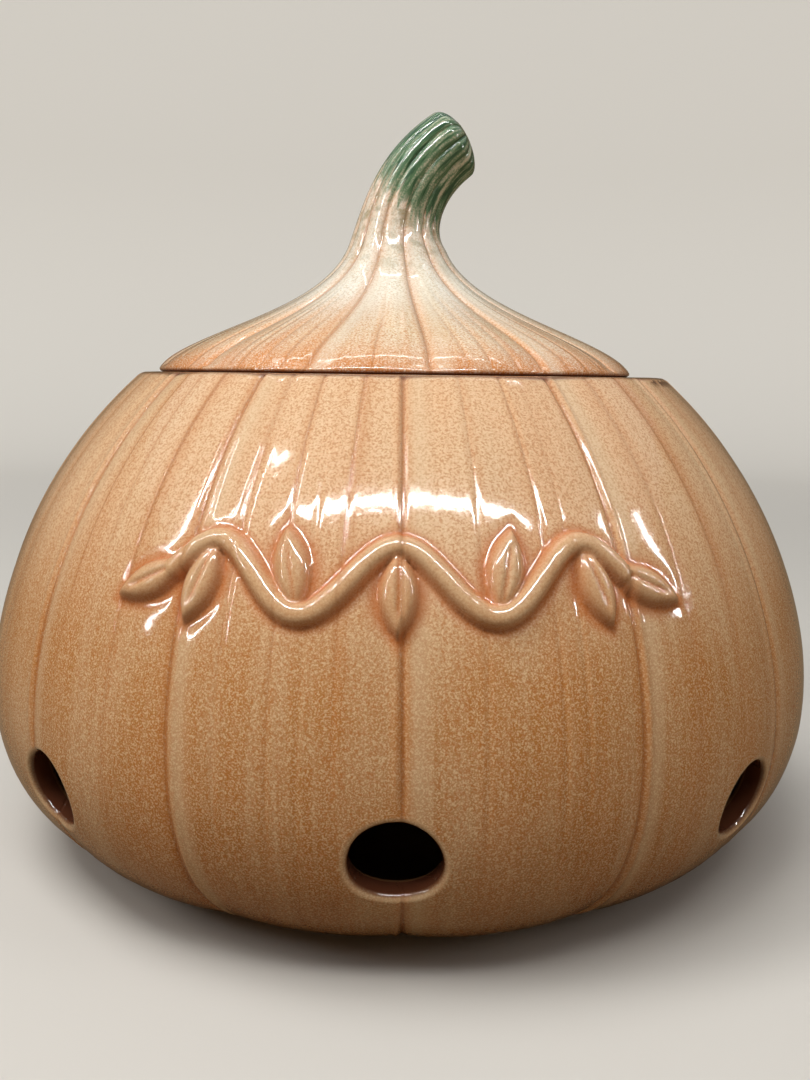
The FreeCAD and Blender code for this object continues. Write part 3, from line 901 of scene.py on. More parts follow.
    def shape(
        self, skin: Skin, outline: Outline, folds: tuple[Folds, Folds], bands: dict[str, float],
        through: list[np.ndarray], vent_run: float,
    ) -> tuple[bpy.types.Object, np.ndarray]:
        """Place all points, with the relief of the skin, the vine and the chip.

        Args:
            skin: All points and faces.
            outline: The jar's section.
            folds: Large folds and small ones.
            bands: Low edge, high edge and middle of the vine's band, along the outline.
            through: Point rings of each vent.
            vent_run: Place of the vents along the outline, outside.

        Returns:
            The object, and for each face the number of its finish.
        """
        azimuth, run, marks = skin.azimuth, skin.run, outline.marks
        radius, height, out, up = outline.at(run)
        wall_foot = marks["foot_outside"]
        share = np.clip((run - wall_foot) / (marks["shoulder"] - wall_foot), 0.0, 1.0)
        numbers = np.stack([part.count_up(azimuth, share) for part in folds], axis=1)
        swell = self.swell(skin, outline, folds, numbers[:, 0], share, vent_run)
        crest, valley, lip, bore_shade = (np.zeros_like(swell) for _ in range(4))
        front = (run > bands["low"] - 3.0) & (run < bands["high"] + 3.0)
        front &= np.abs(azimuth) < self.relief_deg + 4.0
        x = np.radians(azimuth[front]) * float(outline.at(np.array([bands["middle"]]))[0][0])
        rise, crest[front], valley[front] = self.vine.raise_skin(x, run[front] - bands["middle"])
        swell[front] += rise - 0.55 * crest[front] * np.minimum(swell[front], 0.0)
        # Each vent gets a painted highlight on its lip and painted shade inside the hole.
        edge_ring = len(self.vents.spread)
        for rings in through:
            for zone, shares, start in (
                    (lip, self.vents.lip_highlight_shares, edge_ring), (bore_shade, self.vents.bore_shade_shares, edge_ring + 3)):
                zone[rings[start:start + len(shares)]] = np.array(shares)[:, None]
        chip = self.chip(azimuth, run, marks["rim"])
        distance = radius + out * (swell - skin.sunk - self.chip_depth * chip)
        level = height + up * (swell - skin.sunk - self.chip_depth * chip)
        turn = np.radians(azimuth)
        points = np.stack([distance * np.sin(turn), -distance * np.cos(turn), level], axis=1) * MM
        rim_top = ease(run, marks["rim"], marks["rim"] + 2.0)
        rim_top *= ease(run, marks["throat"], marks["mouth_turn"])
        zones = {
            "crest": crest, "valley": valley, "lip": lip, "bore_shade": bore_shade, "chip": chip,
            "edge": bump(run - marks["rim"], 1.3) + rim_top,
        }
        turns = np.array([len(part.azimuth) for part in folds], dtype=float)
        piece = make_mesh("jar_shell", points, skin, zones, numbers, turns)
        face_run = run[np.concatenate(skin.faces)].mean(axis=1)
        finish = np.where(face_run > marks["mouth"], 1, 0)
        finish[(face_run < marks["foot_face"] + 0.3) & (face_run > marks["foot_inside"] - 0.3)] = 2
        return piece, finish


@dataclass
class Lid:
    """The loose lid: a bell that sweeps up into a bent stem, with a ring below, hollow inside."""

    radius: float = 69.8
    neck: float = 12.2
    bell_spread: float = 20.4
    bell_power: float = 1.85
    shift: float = -2.5
    bend_start: float = 37.0
    bend_radius: float = 36.0
    bend_deg: float = 56.0
    tip_radius: float = 10.8
    tip_dome: float = 4.8
    edge_round: float = 1.0
    ring_outer: float = 62.0
    ring_inner: float = 57.0
    ring_depth: float = 9.0
    ring_round: float = 2.0
    waist: tuple[float, float] = (24.4, 17.1)
    flue: float = 5.0
    flue_height: float = 30.0
    lobe: float = 1.05
    lobe_power: float = 2.4
    fold_depth: float = 0.6
    fold_lip: float = 0.16
    groove_power: float = 0.9
    unevenness: float = 0.1
    ridge_depth: float = 0.35
    ridges_from: tuple[float, float] = (26.0, 44.0)
    base_height: float = 134.0
    front_deg: float = 66.0
    plain_step: float = 1.2
    fold_step: float = 0.6

    def bell(self, run: np.ndarray) -> np.ndarray:
        """The lid's radius at a length up its middle line.

        It is the neck, plus what the edge has more times e to the power of minus a power of the
        length over the spread. Round the bend it slims to the tip's radius.
        """
        flare = (self.radius - self.neck) * np.exp(-((run / self.bell_spread) ** self.bell_power))
        arc = self.bend_radius * math.radians(self.bend_deg)
        slim = (self.neck - self.tip_radius) * np.clip((run - self.bend_start) / arc, 0.0, 1.0)
        return self.neck + flare - slim

    def outline(self) -> Outline:
        """The section with its stem unbent: hollow, ring, underside, edge, bell, stem and tip."""
        end = self.bend_start + self.bend_radius * math.radians(self.bend_deg)
        heights = np.linspace(self.edge_round, end, 400)
        wall = np.stack([self.bell(heights), heights], axis=1)
        angles = np.radians(np.linspace(0.0, 90.0, 60))[1:]
        dome = np.stack([self.tip_radius * np.cos(angles), end + self.tip_dome * np.sin(angles)], axis=1)
        edge = (float(wall[0, 0]) - self.edge_round, self.edge_round)
        bottom, turn = -self.ring_depth, self.ring_round
        return Outline({
            "flue": arc_run((0.0, self.flue_height), self.flue, 90.0, 0.0),
            "hollow": line_run((self.flue, self.flue_height), self.waist),
            "underside": line_run(self.waist, (self.ring_inner, 0.0)),
            "ring_inside": line_run((self.ring_inner, 0.0), (self.ring_inner, bottom + turn)),
            "ring_inner_turn": arc_run((self.ring_inner + turn, bottom + turn), turn, 180.0, 270.0),
            "ring_face": line_run((self.ring_inner + turn, bottom), (self.ring_outer - turn, bottom)),
            "ring_outer_turn": arc_run((self.ring_outer - turn, bottom + turn), turn, 270.0, 360.0),
            "ring_outside": line_run((self.ring_outer, bottom + turn), (self.ring_outer, 0.0)),
            "seat": line_run((self.ring_outer, 0.0), (edge[0], 0.0)),
            "edge": arc_run(edge, self.edge_round, -90.0, 0.0),
            "wall": wall,
            "dome": dome,
        })

    def folds(self) -> tuple[Folds, Folds]:
        """Large folds, which run together up the stem, and small ones that die out on the bell."""
        generator = np.random.default_rng(23)
        majors = [
            (-147.0, 0.0), (-121.0, 1.5), (-95.0, -1.0), (-69.5, -1.5), (-43.0, -2.0),
            (-16.0, -1.5), (11.5, -4.0), (41.0, -8.0), (64.0, -5.0), (88.0, -2.0),
            (113.0, 1.0), (138.0, 0.0), (163.5, -1.0), (188.0, 1.0),
        ]
        rows = []
        for place, (azimuth, lean) in enumerate(majors):
            lip = self.fold_lip if place % 2 else -self.fold_lip
            width = generator.uniform(0.65, 0.85)
            rows.append((azimuth, lean, 0.0, self.fold_depth, width, lip, PAST_END))
        drawn = (
            -38.0, -34.0, -29.0, -23.0, -10.0, -3.5, 2.0, 16.5, 22.0, 26.5, 41.5, 47.0, 55.0, -52.0, -60.0)
        minor = SmallFolds(drawn, drawn_deg=62.0, ends=(0.1, 0.32))
        return fold_set(rows), fold_set(minor.rows([major[0] for major in majors], generator))

    def bend(self, straight: np.ndarray) -> np.ndarray:
        """Bend the stem over towards +X and set the lid on the jar.

        Up to the start of the bend a point stays. Beyond it the middle line follows a circle, then
        the circle's tangent, and the point keeps its place across that line.

        Args:
            straight: Rows of x, y and length up the unbent middle line.

        Returns:
            Rows of x, y and z.
        """
        past = np.maximum(straight[:, 2] - self.bend_start, 0.0)
        most = math.radians(self.bend_deg)
        turn = np.minimum(past / self.bend_radius, most)
        beyond = past - turn * self.bend_radius
        line_x = self.bend_radius * (1.0 - np.cos(turn)) + beyond * np.sin(turn)
        line_z = self.bend_radius * np.sin(turn) + beyond * np.cos(turn)
        line_z += np.minimum(straight[:, 2], self.bend_start)
        x = self.shift + line_x + straight[:, 0] * np.cos(turn)
        z = self.base_height + line_z - straight[:, 0] * np.sin(turn)
        return np.stack([x, straight[:, 1], z], axis=1)

    def lobes(
        self, azimuth: np.ndarray, radius: np.ndarray, height: np.ndarray, number: np.ndarray
    ) -> np.ndarray:
        """Height of the skin over its smooth form, without the folds.

        A lobe falls away by a power of the distance from its crest towards the next large fold.
        Slow waves make the skin uneven, and three broad ridges run up the stem.

        Args:
            azimuth: Degrees round the middle line.
            radius: Distance from the middle line.
            height: Length up the unbent middle line.
            number: Number of the large fold at each point.

        Returns:
            Millimetres, zero or less.
        """
        turn = np.radians(azimuth)
        fall = np.abs(2.0 * (number - np.floor(number)) - 1.0) ** self.lobe_power
        waves = np.sin(3 * turn + 0.09 * height) + np.sin(5 * turn - 0.13 * height + 2.0)
        ridges = ease(height, *self.ridges_from) * (np.sin(3 * turn + 0.8 + 0.03 * height) - 1.0)
        swell = -fall * self.lobe * np.sqrt(radius / self.radius)
        return swell + self.unevenness * (waves - 2.0) + self.ridge_depth * ridges

    def build(self) -> tuple[bpy.types.Object, np.ndarray]:
        """Make the lid's mesh: a grid of rows along the outline and columns round the middle line.

        Returns:
            The object, and for each face the number of its finish.
        """
        outline = self.outline()
        large, small = self.folds()
        marks = outline.marks
        tip = outline.lengths[-1]
        rows = even_rows([
            (0.0, 0), (marks["flue"], 6), (marks["hollow"], 4), (marks["underside"], 10),
            (marks["ring_inside"], 3), (marks["ring_inner_turn"], 4), (marks["ring_face"], 2),
            (marks["ring_outer_turn"], 4), (marks["ring_outside"], 3), (marks["seat"], 4),
            (marks["edge"], 5), (marks["edge"] + 12.0, 14), (marks["wall"], 78), (tip, 14),
        ])
        paths = large.paths(np.array([0.0, 0.5, 1.0]))
        fine = [(path.min() - 2.0, path.max() + 2.0, self.fold_step) for path in paths]
        front = (-self.front_deg, self.front_deg, self.fold_step)
        columns = dense_columns(self.plain_step, [*fine, front])
        skin, grid = start_skin(columns, rows)
        skin.add_strip(grid)
        azimuth, run = skin.azimuth, skin.run
        radius, height, out, up = outline.at(run)
        share = np.clip(height / (marks["wall"] - marks["edge"]), 0.0, 1.0)
        numbers = np.stack([part.count_up(azimuth, share) for part in (large, small)], axis=1)
        outside = ease(run, marks["edge"] - 0.4, marks["edge"] + 2.5)
        outside *= 1.0 - ease(run, marks["wall"] + 1.0, tip - 0.5)
        grooves = large.grooves(azimuth, share, radius) + small.grooves(azimuth, share, radius)
        swell = self.lobes(azimuth, radius, height, numbers[:, 0])
        swell += grooves * (radius / self.radius) ** self.groove_power
        swell = np.minimum(swell, 0.0) * outside
        turn = np.radians(azimuth)
        distance = radius + out * swell
        straight = np.stack([distance * np.sin(turn), -distance * np.cos(turn), height + up * swell], axis=1)
        below = ease(run, marks["edge"], marks["seat"]) * (run > marks["ring_outside"])
        zones = {"unbent": straight * MM, "edge": bump(run - marks["seat"] - 0.3, 0.8) + below}
        turns = np.array([len(large.azimuth), len(small.azimuth)], dtype=float)
        piece = make_mesh("lid_shell", self.bend(straight) * MM, skin, zones, numbers, turns)
        face_run = run[skin.faces[0]].mean(axis=1)
        return piece, np.where(face_run < marks["ring_outside"], 1, 0)


class Pattern(Enum):
    """Which coordinates a glaze's pattern is laid out on."""

    OBJECT = "object"
    UNBENT = "unbent"


def add_node(tree: Tree, kind: str, inputs: dict[Any, Any], output: Any = 0, **settings: Any) -> Socket:
    """Add a node with its settings, values and links.

    Args:
        tree: The material's nodes.
        kind: Blender's name of the node type.
        inputs: Socket, number or hex colour for each input, by the input's name or number.
        output: Name or number of the output to hand back.
        settings: Properties of the node.

    Returns:
        The chosen output, or the node itself where it has none.
    """
    node = tree.nodes.new(kind)
    for name, value in settings.items():
        setattr(node, name, value)
    for key, value in inputs.items():
        if isinstance(value, Socket):
            tree.links.new(value, node.inputs[key])
        else:
            node.inputs[key].default_value = linear(value) if isinstance(value, str) else value
    return node.outputs[output] if len(node.outputs) else node


def new_material(name: str) -> tuple[bpy.types.Material, Tree]:
    """An empty material with nodes."""
    material = bpy.data.materials.new(name)
    material.use_nodes = True
    material.node_tree.nodes.clear()
    return material, material.node_tree


@dataclass(frozen=True)
class Coat:
    """One layer of colour: a hex value or a socket, where it lies, and how strongly it covers there."""

    colour: Any
    share: Any
    strength: float = 1.0


def lay_coats(tree: Tree, ground: Any, coats: list[Coat]) -> Socket:
    """Lay coats of colour over a ground, one after the other.

    Args:
        tree: The material's nodes.
        ground: Hex colour or socket below all coats.
        coats: The coats, the lowest first. Each covers by its share times its strength.

    Returns:
        The colour that is seen.
    """
    colour = ground
    for coat in coats:
        amount = add_node(
            tree, "ShaderNodeMath", {0: coat.share, 1: coat.strength}, operation="MULTIPLY", use_clamp=True)
        colour = add_node(tree, "ShaderNodeMix", {0: amount, 6: colour, 7: coat.colour}, 2, data_type="RGBA")
    return colour


@dataclass(frozen=True)
class SprayedGlaze:
    """Speckled glaze sprayed over white slip-cast earthenware, then fired glossy.

    The eye sees a stipple of cream, peach and orange grains about half a millimetre wide, fine
    streaks up the skin, and colour that gathers orange in the folds and runs pale beside them.
    """

    name: str
    pattern: Pattern
    # Ground colours from the foot up; how they change with height is partly painted shade and light.
    low: str
    middle: str
    high: str
    heights: tuple[float, float, float]
    fold_counts: tuple[int, int]
    small_folds: tuple[float, float, float, float]
    streaks: tuple[float, float, float, float]
    light_stipple: float = 0.6
    dark_stipple: float = 0.55
    line: float = 0.5
    cream: str = "#f0d2a8"
    orange: str = "#b76a2b"
    tan: str = "#bb7439"
    fold: str = "#9c5620"
    halo: str = "#c0712c"
    pale: str = "#e2c8a2"
    valley: str = "#bd6429"
    crest: str = "#d2ab80"
    # Painted highlight on the vents' lips.
    lip: str = "#e6cfa8"
    edge: str = "#6a3a22"
    # Painted shade inside the vents.
    bore_shade: str = "#573120"
    chip: str = "#6b4331"
    grain: float = 0.4
    fleck: float = 1.35
    fray: float = 0.9
    beside: float = 3.2
    gloss: float = 0.06
    dulled: float = 0.05

    def build(self) -> bpy.types.Material:
        """Make the material.

        Returns:
            A glossy dielectric whose colour follows the skin.
        """
        material, tree = new_material(self.name)
        if self.pattern is Pattern.OBJECT:
            place = add_node(tree, "ShaderNodeTexCoord", {}, "Object")
        else:
            place = add_node(tree, "ShaderNodeAttribute", {}, "Vector", attribute_name="unbent")
        rise = add_node(tree, "ShaderNodeSeparateXYZ", {0: place}, "Z")
        flat = add_node(tree, "ShaderNodeVectorMath", {0: place, 1: (1.0, 1.0, 0.0)}, operation="MULTIPLY")
        spoke = add_node(tree, "ShaderNodeVectorMath", {0: flat}, operation="NORMALIZE")
        reach = add_node(tree, "ShaderNodeVectorMath", {0: flat}, "Value", operation="LENGTH")
        widths = {
            "grain": self.grain, "fleck": self.fleck * self.grain, "peel": 3.2, "sag": 11.0, "cloud": 34.0}
        mottle = {
            name: add_node(tree, "ShaderNodeTexNoise", {
                "Vector": place, "Scale": 1.0 / (width * MM), "Detail": 3.0}, "Fac")
            for name, width in widths.items()}
        brushed = {}
        for name, around, upward in (("broad", 13.0, 9.0), ("fine", 90.0, 24.0), ("bristle", 9.0, 95.0)):
            drawn = [
                add_node(tree, "ShaderNodeVectorMath", {0: vector, 1: scale}, operation="MULTIPLY")
                for vector, scale in ((spoke, (around,) * 3), (place, (0.0, 0.0, upward)))]
            along = add_node(tree, "ShaderNodeVectorMath", {0: drawn[0], 1: drawn[1]}, operation="ADD")
            brushed[name] = add_node(
                tree, "ShaderNodeTexNoise", {"Vector": along, "Scale": 1.0, "Detail": 4.0}, "Fac")
        large = self.fold_marks(tree, "X", self.fold_counts[0], reach, mottle["fleck"])
        small = self.fold_marks(tree, "Y", self.fold_counts[1], reach, mottle["fleck"])
        start, end, first, last = self.small_folds
        kept = add_node(
            tree, "ShaderNodeMapRange", {0: rise, 1: start * MM, 2: end * MM, 3: first, 4: last},
            interpolation_type="SMOOTHSTEP")
        chance = add_node(tree, "ShaderNodeMath", {0: small["chance"], 1: kept}, operation="MULTIPLY")
        small = {
            name: add_node(tree, "ShaderNodeMath", {0: mark, 1: chance}, operation="MULTIPLY")
            for name, mark in small.items()}

        colour = lay_coats(tree, self.low, [
            *self.ground_coats(tree, rise, mottle, brushed),
            *self.fold_coats(tree, large, small),
            *self.over_paint(tree, place, rise, mottle, brushed),
            *self.edge_coats(tree),
        ])
        relief = mottle["grain"]
        for share, depth in (
                (mottle["peel"], 5.0), (mottle["sag"], 22.0), (large["line"], -18.0), (small["line"], -16.0)):
            relief = add_node(
                tree, "ShaderNodeMath", {0: share, 1: depth, 2: relief}, operation="MULTIPLY_ADD")
        normal = add_node(
            tree, "ShaderNodeBump", {"Height": relief, "Distance": 0.006 * MM, "Strength": 1.0}, "Normal")
        sheen = add_node(tree, "ShaderNodeMapRange", {
            0: mottle["fleck"], 1: 0.3, 2: 0.7, 3: self.gloss, 4: self.gloss + self.dulled})
        shader = add_node(
            tree, "ShaderNodeBsdfPrincipled",
            {"Base Color": colour, "Roughness": sheen, "IOR": 1.5, "Coat Weight": 0.35,
             "Coat Roughness": 0.03, "Normal": normal}, "BSDF")
        add_node(tree, "ShaderNodeOutputMaterial", {"Surface": shader})
        return material

    def fold_marks(
        self, tree: Tree, column: str, count: int, reach: Socket,
        wobble: Socket,
    ) -> Sockets:
        """Shares that follow the folds: their line, the skin on each side, and a chance for each fold.

        A fold number less its nearest whole number, times the length of one step at this distance
        from the axis, gives the millimetres to the nearest fold, below zero on one side.

        Args:
            tree: The material's nodes.
            column: Which of the skin's fold numbers to read.
            count: How many folds go round.
            reach: Distance from the axis.
            wobble: Noise that frays the line.

        Returns:
            The shares by name.
        """
        numbers = add_node(tree, "ShaderNodeUVMap", {}, uv_map="folds")
        number = add_node(tree, "ShaderNodeSeparateXYZ", {0: numbers}, column)
        whole = add_node(tree, "ShaderNodeMath", {0: number}, operation="ROUND")
        apart = add_node(tree, "ShaderNodeMath", {0: number, 1: whole}, operation="SUBTRACT")
        step = add_node(tree, "ShaderNodeMath", {0: reach, 1: math.tau / (count * MM)}, operation="MULTIPLY")
        aside = add_node(tree, "ShaderNodeMath", {0: apart, 1: step}, operation="MULTIPLY")
        frayed = add_node(
            tree, "ShaderNodeMath", {0: wobble, 1: self.fray, 2: aside}, operation="MULTIPLY_ADD")
        centred = add_node(tree, "ShaderNodeMath", {0: frayed, 1: self.fray / 2.0}, operation="SUBTRACT")
        away = add_node(tree, "ShaderNodeMath", {0: centred}, operation="ABSOLUTE")
        turn = add_node(tree, "ShaderNodeMath", {0: whole, 1: float(count)}, operation="FLOORED_MODULO")
        ranges = {"line": (away, 0.1, 0.65), "halo": (away, 0.2, 3.2)}
        for name, side in (("right", 1.0), ("left", -1.0)):
            one_side = add_node(tree, "ShaderNodeMath", {0: centred, 1: side}, operation="MULTIPLY")
            past = add_node(tree, "ShaderNodeMath", {0: one_side, 1: self.beside}, operation="SUBTRACT")
            ranges[name] = (add_node(tree, "ShaderNodeMath", {0: past}, operation="ABSOLUTE"), 0.2, 4.0)
        marks = {
            name: add_node(
                tree, "ShaderNodeMapRange", {0: distance, 1: near, 2: far, 3: 1.0, 4: 0.0},
                interpolation_type="SMOOTHSTEP")
            for name, (distance, near, far) in ranges.items()}
        marks["chance"] = add_node(
            tree, "ShaderNodeTexWhiteNoise", {"W": turn}, "Value", noise_dimensions="1D")
        return marks

    def ground_coats(
        self, tree: Tree, rise: Socket, mottle: Sockets,
        brushed: Sockets,
    ) -> list[Coat]:
        """The spray: paler with height, in part painted shade and light; cloudy, streaked up the skin,
        stippled.
        """
        levels = [level * MM for level in self.heights]
        blends = [
            add_node(
                tree, "ShaderNodeMapRange", {0: rise, 1: below, 2: above}, interpolation_type="SMOOTHSTEP")
            for below, above in zip(levels, levels[1:])]
        start, end, first, last = self.streaks
        kept = add_node(
            tree, "ShaderNodeMapRange", {0: rise, 1: start * MM, 2: end * MM, 3: first, 4: last})
        bands = {
            "cloud": (mottle["cloud"], 0.46, 0.70), "orange_streak": (brushed["broad"], 0.50, 0.68),
            "pale_streak": (brushed["broad"], 0.46, 0.30), "fine_dark": (brushed["fine"], 0.50, 0.70),
            "fine_pale": (brushed["fine"], 0.50, 0.32), "light_grain": (mottle["grain"], 0.46, 0.61),
            "dark_grain": (mottle["fleck"], 0.53, 0.39),
        }
        shares = {
            name: add_node(tree, "ShaderNodeMapRange", {0: noise, 1: low, 2: high})
            for name, (noise, low, high) in bands.items()}
        orange_streak = add_node(
            tree, "ShaderNodeMath", {0: shares["orange_streak"], 1: kept}, operation="MULTIPLY")
        speckle = lay_coats(tree, self.orange, [Coat(self.tan, blends[1])])
        return [
            Coat(self.middle, blends[0]),
            Coat(self.high, blends[1]),
            Coat(self.pale, shares["cloud"], 0.3),
            Coat(self.halo, orange_streak, 0.75),
            Coat(self.pale, shares["pale_streak"], 0.28),
            Coat(self.orange, shares["fine_dark"], 0.2),
            Coat(self.cream, shares["fine_pale"], 0.14),
            Coat(self.cream, shares["light_grain"], self.light_stipple),
            Coat(speckle, shares["dark_grain"], self.dark_stipple),
        ]

    def fold_coats(
        self, tree: Tree, large: Sockets,
        small: Sockets,
    ) -> list[Coat]:
        """Orange that gathers in folds and valleys, and the pale band on one side of a large fold."""
        shares = {}
        for name, low, high in (("right", 0.40, 0.60), ("left", 0.60, 0.40)):
            chosen = add_node(tree, "ShaderNodeMapRange", {0: large["chance"], 1: low, 2: high})
            shares[name] = add_node(tree, "ShaderNodeMath", {0: large[name], 1: chosen}, operation="MULTIPLY")
        relief = {
            name: add_node(tree, "ShaderNodeAttribute", {}, "Fac", attribute_name=name)
            for name in ("valley", "crest")}
        return [
            Coat(self.pale, shares["right"], 0.36),
            Coat(self.pale, shares["left"], 0.36),
            Coat(self.halo, large["halo"], 0.28),
            Coat(self.halo, small["halo"], 0.4),
            Coat(self.fold, small["line"], 0.45),
            Coat(self.fold, large["line"], self.line),
            Coat(self.valley, relief["valley"], 0.7),
            Coat(self.crest, relief["crest"], 0.5),
        ]

    def over_paint(
        self, tree: Tree, place: Socket, rise: Socket,
        mottle: Sockets, brushed: Sockets,
    ) -> list[Coat]:
        """What is painted over the spray: nothing on plain glaze."""
        return []

    def edge_coats(self, tree: Tree) -> list[Coat]:
        """Painted highlight on the vents' lips, painted shade inside the holes, the brown line where glaze
        breaks, and the rim's chip.
        """
        zones = {
            "lip": (self.lip, 0.34), "bore_shade": (self.bore_shade, 1.0), "edge": (self.edge, 0.85),
            "chip": (self.chip, 1.0),
        }
        return [
            Coat(colour, add_node(tree, "ShaderNodeAttribute", {}, "Fac", attribute_name=name), strength)
            for name, (colour, strength) in zones.items()]


@dataclass(frozen=True)
class StemGlaze(SprayedGlaze):
    """The same sprayed glaze, with olive smudges on the neck and a green tip put on by brush."""

    # The greens are the brushed paint, lightened in part to paint the pale reflection on the glossy tip.
    green: str = "#5a7b58"
    green_pale: str = "#9cae90"
    green_dark: str = "#31503a"
    bared: str = "#cfc6ab"
    smudge: str = "#8f8861"
    green_from: float = 47.5
    green_lean: float = 0.42
    ragged: float = 34.0

    def over_paint(
        self, tree: Tree, place: Socket, rise: Socket,
        mottle: Sockets, brushed: Sockets,
    ) -> list[Coat]:
        """Brush green over the tip, with streaks that let the ground through.

        Args:
            tree: The material's nodes.
            place: Coordinates on the unbent stem.
            rise: Length up the stem.
            mottle: Noises in all directions.
            brushed: Noises drawn out along the stem.

        Returns:
            The coats of paint.
        """
        bristles = brushed["bristle"]
        side = add_node(tree, "ShaderNodeSeparateXYZ", {0: place}, "X")
        reach = rise
        for value, weight in ((bristles, self.ragged * MM), (side, self.green_lean)):
            reach = add_node(
                tree, "ShaderNodeMath", {0: value, 1: weight, 2: reach}, operation="MULTIPLY_ADD")
        start = (self.green_from + self.ragged / 2.0) * MM
        shares = {
            name: add_node(tree, "ShaderNodeMapRange", {0: value, 1: low, 2: high})
            for name, value, low, high in (
                ("painted", reach, start - 1.5 * MM, start + 3.0 * MM),
                ("neck", rise, 24.0 * MM, 42.0 * MM),
                ("dabs", mottle["peel"], 0.50, 0.64),
                ("dark", bristles, 0.46, 0.38),
                ("pale", bristles, 0.46, 0.62),
                ("bared", bristles, 0.62, 0.68),
                ("flecked", mottle["fleck"], 0.46, 0.56),
            )}
        smudged, broken = (
            add_node(tree, "ShaderNodeMath", {0: shares[one], 1: shares[other]}, operation="MULTIPLY")
            for one, other in (("neck", "dabs"), ("pale", "flecked")))
        paint = lay_coats(tree, self.green, [
            Coat(self.green_dark, shares["dark"], 0.8),
            Coat(self.green_pale, shares["pale"], 0.6),
            Coat(self.bared, broken, 0.75),
            Coat(self.bared, shares["bared"], 0.8),
        ])
        return [Coat(self.smudge, smudged, 0.55), Coat(paint, shares["painted"])]


@dataclass(frozen=True)
class LinerGlaze:
    """Plain honey-brown glaze poured round the inside: smooth and glossy, a little cloudy."""

    name: str = "poured_liner_glaze"
    colour: str = "#7d5536"
    thick: str = "#5f3d25"

    def build(self) -> bpy.types.Material:
        """Make the material.

        Returns:
            A glossy brown whose tone drifts where the glaze ran thicker.
        """
        material, tree = new_material(self.name)
        place = add_node(tree, "ShaderNodeTexCoord", {}, "Object")
        drift = add_node(
            tree, "ShaderNodeTexNoise", {"Vector": place, "Scale": 1.0 / (25.0 * MM), "Detail": 3.0}, "Fac")
        colour = lay_coats(tree, self.colour, [Coat(self.thick, drift)])
        shader = add_node(
            tree, "ShaderNodeBsdfPrincipled", {"Base Color": colour, "Roughness": 0.22, "IOR": 1.5}, "BSDF")
        add_node(tree, "ShaderNodeOutputMaterial", {"Surface": shader})
        return material


@dataclass(frozen=True)
class BareClay:
    """Unglazed fired earthenware, wiped clean before firing: matt, buff and finely grained."""

    name: str = "bare_fired_clay"
    colour: str = "#dcc9ad"
    grit: str = "#c3a987"

    def build(self) -> bpy.types.Material:
        """Make the material.

        Returns:
            A matt buff with fine grit.
        """
        material, tree = new_material(self.name)
        place = add_node(tree, "ShaderNodeTexCoord", {}, "Object")
        grit = add_node(
            tree, "ShaderNodeTexNoise", {"Vector": place, "Scale": 1.0 / (0.5 * MM), "Detail": 3.0}, "Fac")
        colour = lay_coats(tree, self.colour, [Coat(self.grit, grit)])
        normal = add_node(
            tree, "ShaderNodeBump", {"Height": grit, "Distance": 0.05 * MM, "Strength": 1.0}, "Normal")
        shader = add_node(
            tree, "ShaderNodeBsdfPrincipled",
            {"Base Color": colour, "Roughness": 0.85, "IOR": 1.5, "Normal": normal}, "BSDF")
        add_node(tree, "ShaderNodeOutputMaterial", {"Surface": shader})
        return material


@dataclass(frozen=True)
class PaperSweep:
    """Matt paper under and behind the object: pale to the eye, darker where it throws light back.

    Its glow lifts only what the camera sees of it, and grows between the two distances in metres.
    """

    name: str = "matt_paper_sweep"
    seen: str = "#cfcbc3"
    bounced: str = "#7a6a54"
    glow: float = 0.5
    glow_from: tuple[float, float] = (0.2, 1.7)

    def build(self) -> bpy.types.Material:
        """Make the material.

        Returns:
            A matt paper.
        """
        material, tree = new_material(self.name)
        looked_at = add_node(tree, "ShaderNodeLightPath", {}, "Is Camera Ray")
        colour = lay_coats(tree, self.bounced, [Coat(self.seen, looked_at)])
        place = add_node(tree, "ShaderNodeTexCoord", {}, "Object")
        away = add_node(tree, "ShaderNodeVectorMath", {0: place}, "Value", operation="LENGTH")
        near, far = self.glow_from
        grown = add_node(
            tree, "ShaderNodeMapRange", {0: away, 1: near, 2: far, 4: self.glow},
            interpolation_type="SMOOTHSTEP")
        lift = add_node(tree, "ShaderNodeMath", {0: looked_at, 1: grown}, operation="MULTIPLY")
        shader = add_node(
            tree, "ShaderNodeBsdfPrincipled",
            {"Base Color": colour, "Roughness": 0.9, "Specular IOR Level": 0.1, "Emission Color": self.seen,
             "Emission Strength": lift}, "BSDF")
        add_node(tree, "ShaderNodeOutputMaterial", {"Surface": shader})
        return material


def dress(piece: bpy.types.Object, finishes: list[bpy.types.Material], finish: np.ndarray) -> None:
    """Give each face of a piece its finish.

    Args:
        piece: The piece.
        finishes: Its materials.
        finish: For each face, the number of its material.
    """
    for material in finishes:
        piece.data.materials.append(material)
    piece.data.polygons.foreach_set("material_index", finish.astype(np.int32))
    piece.data.update()


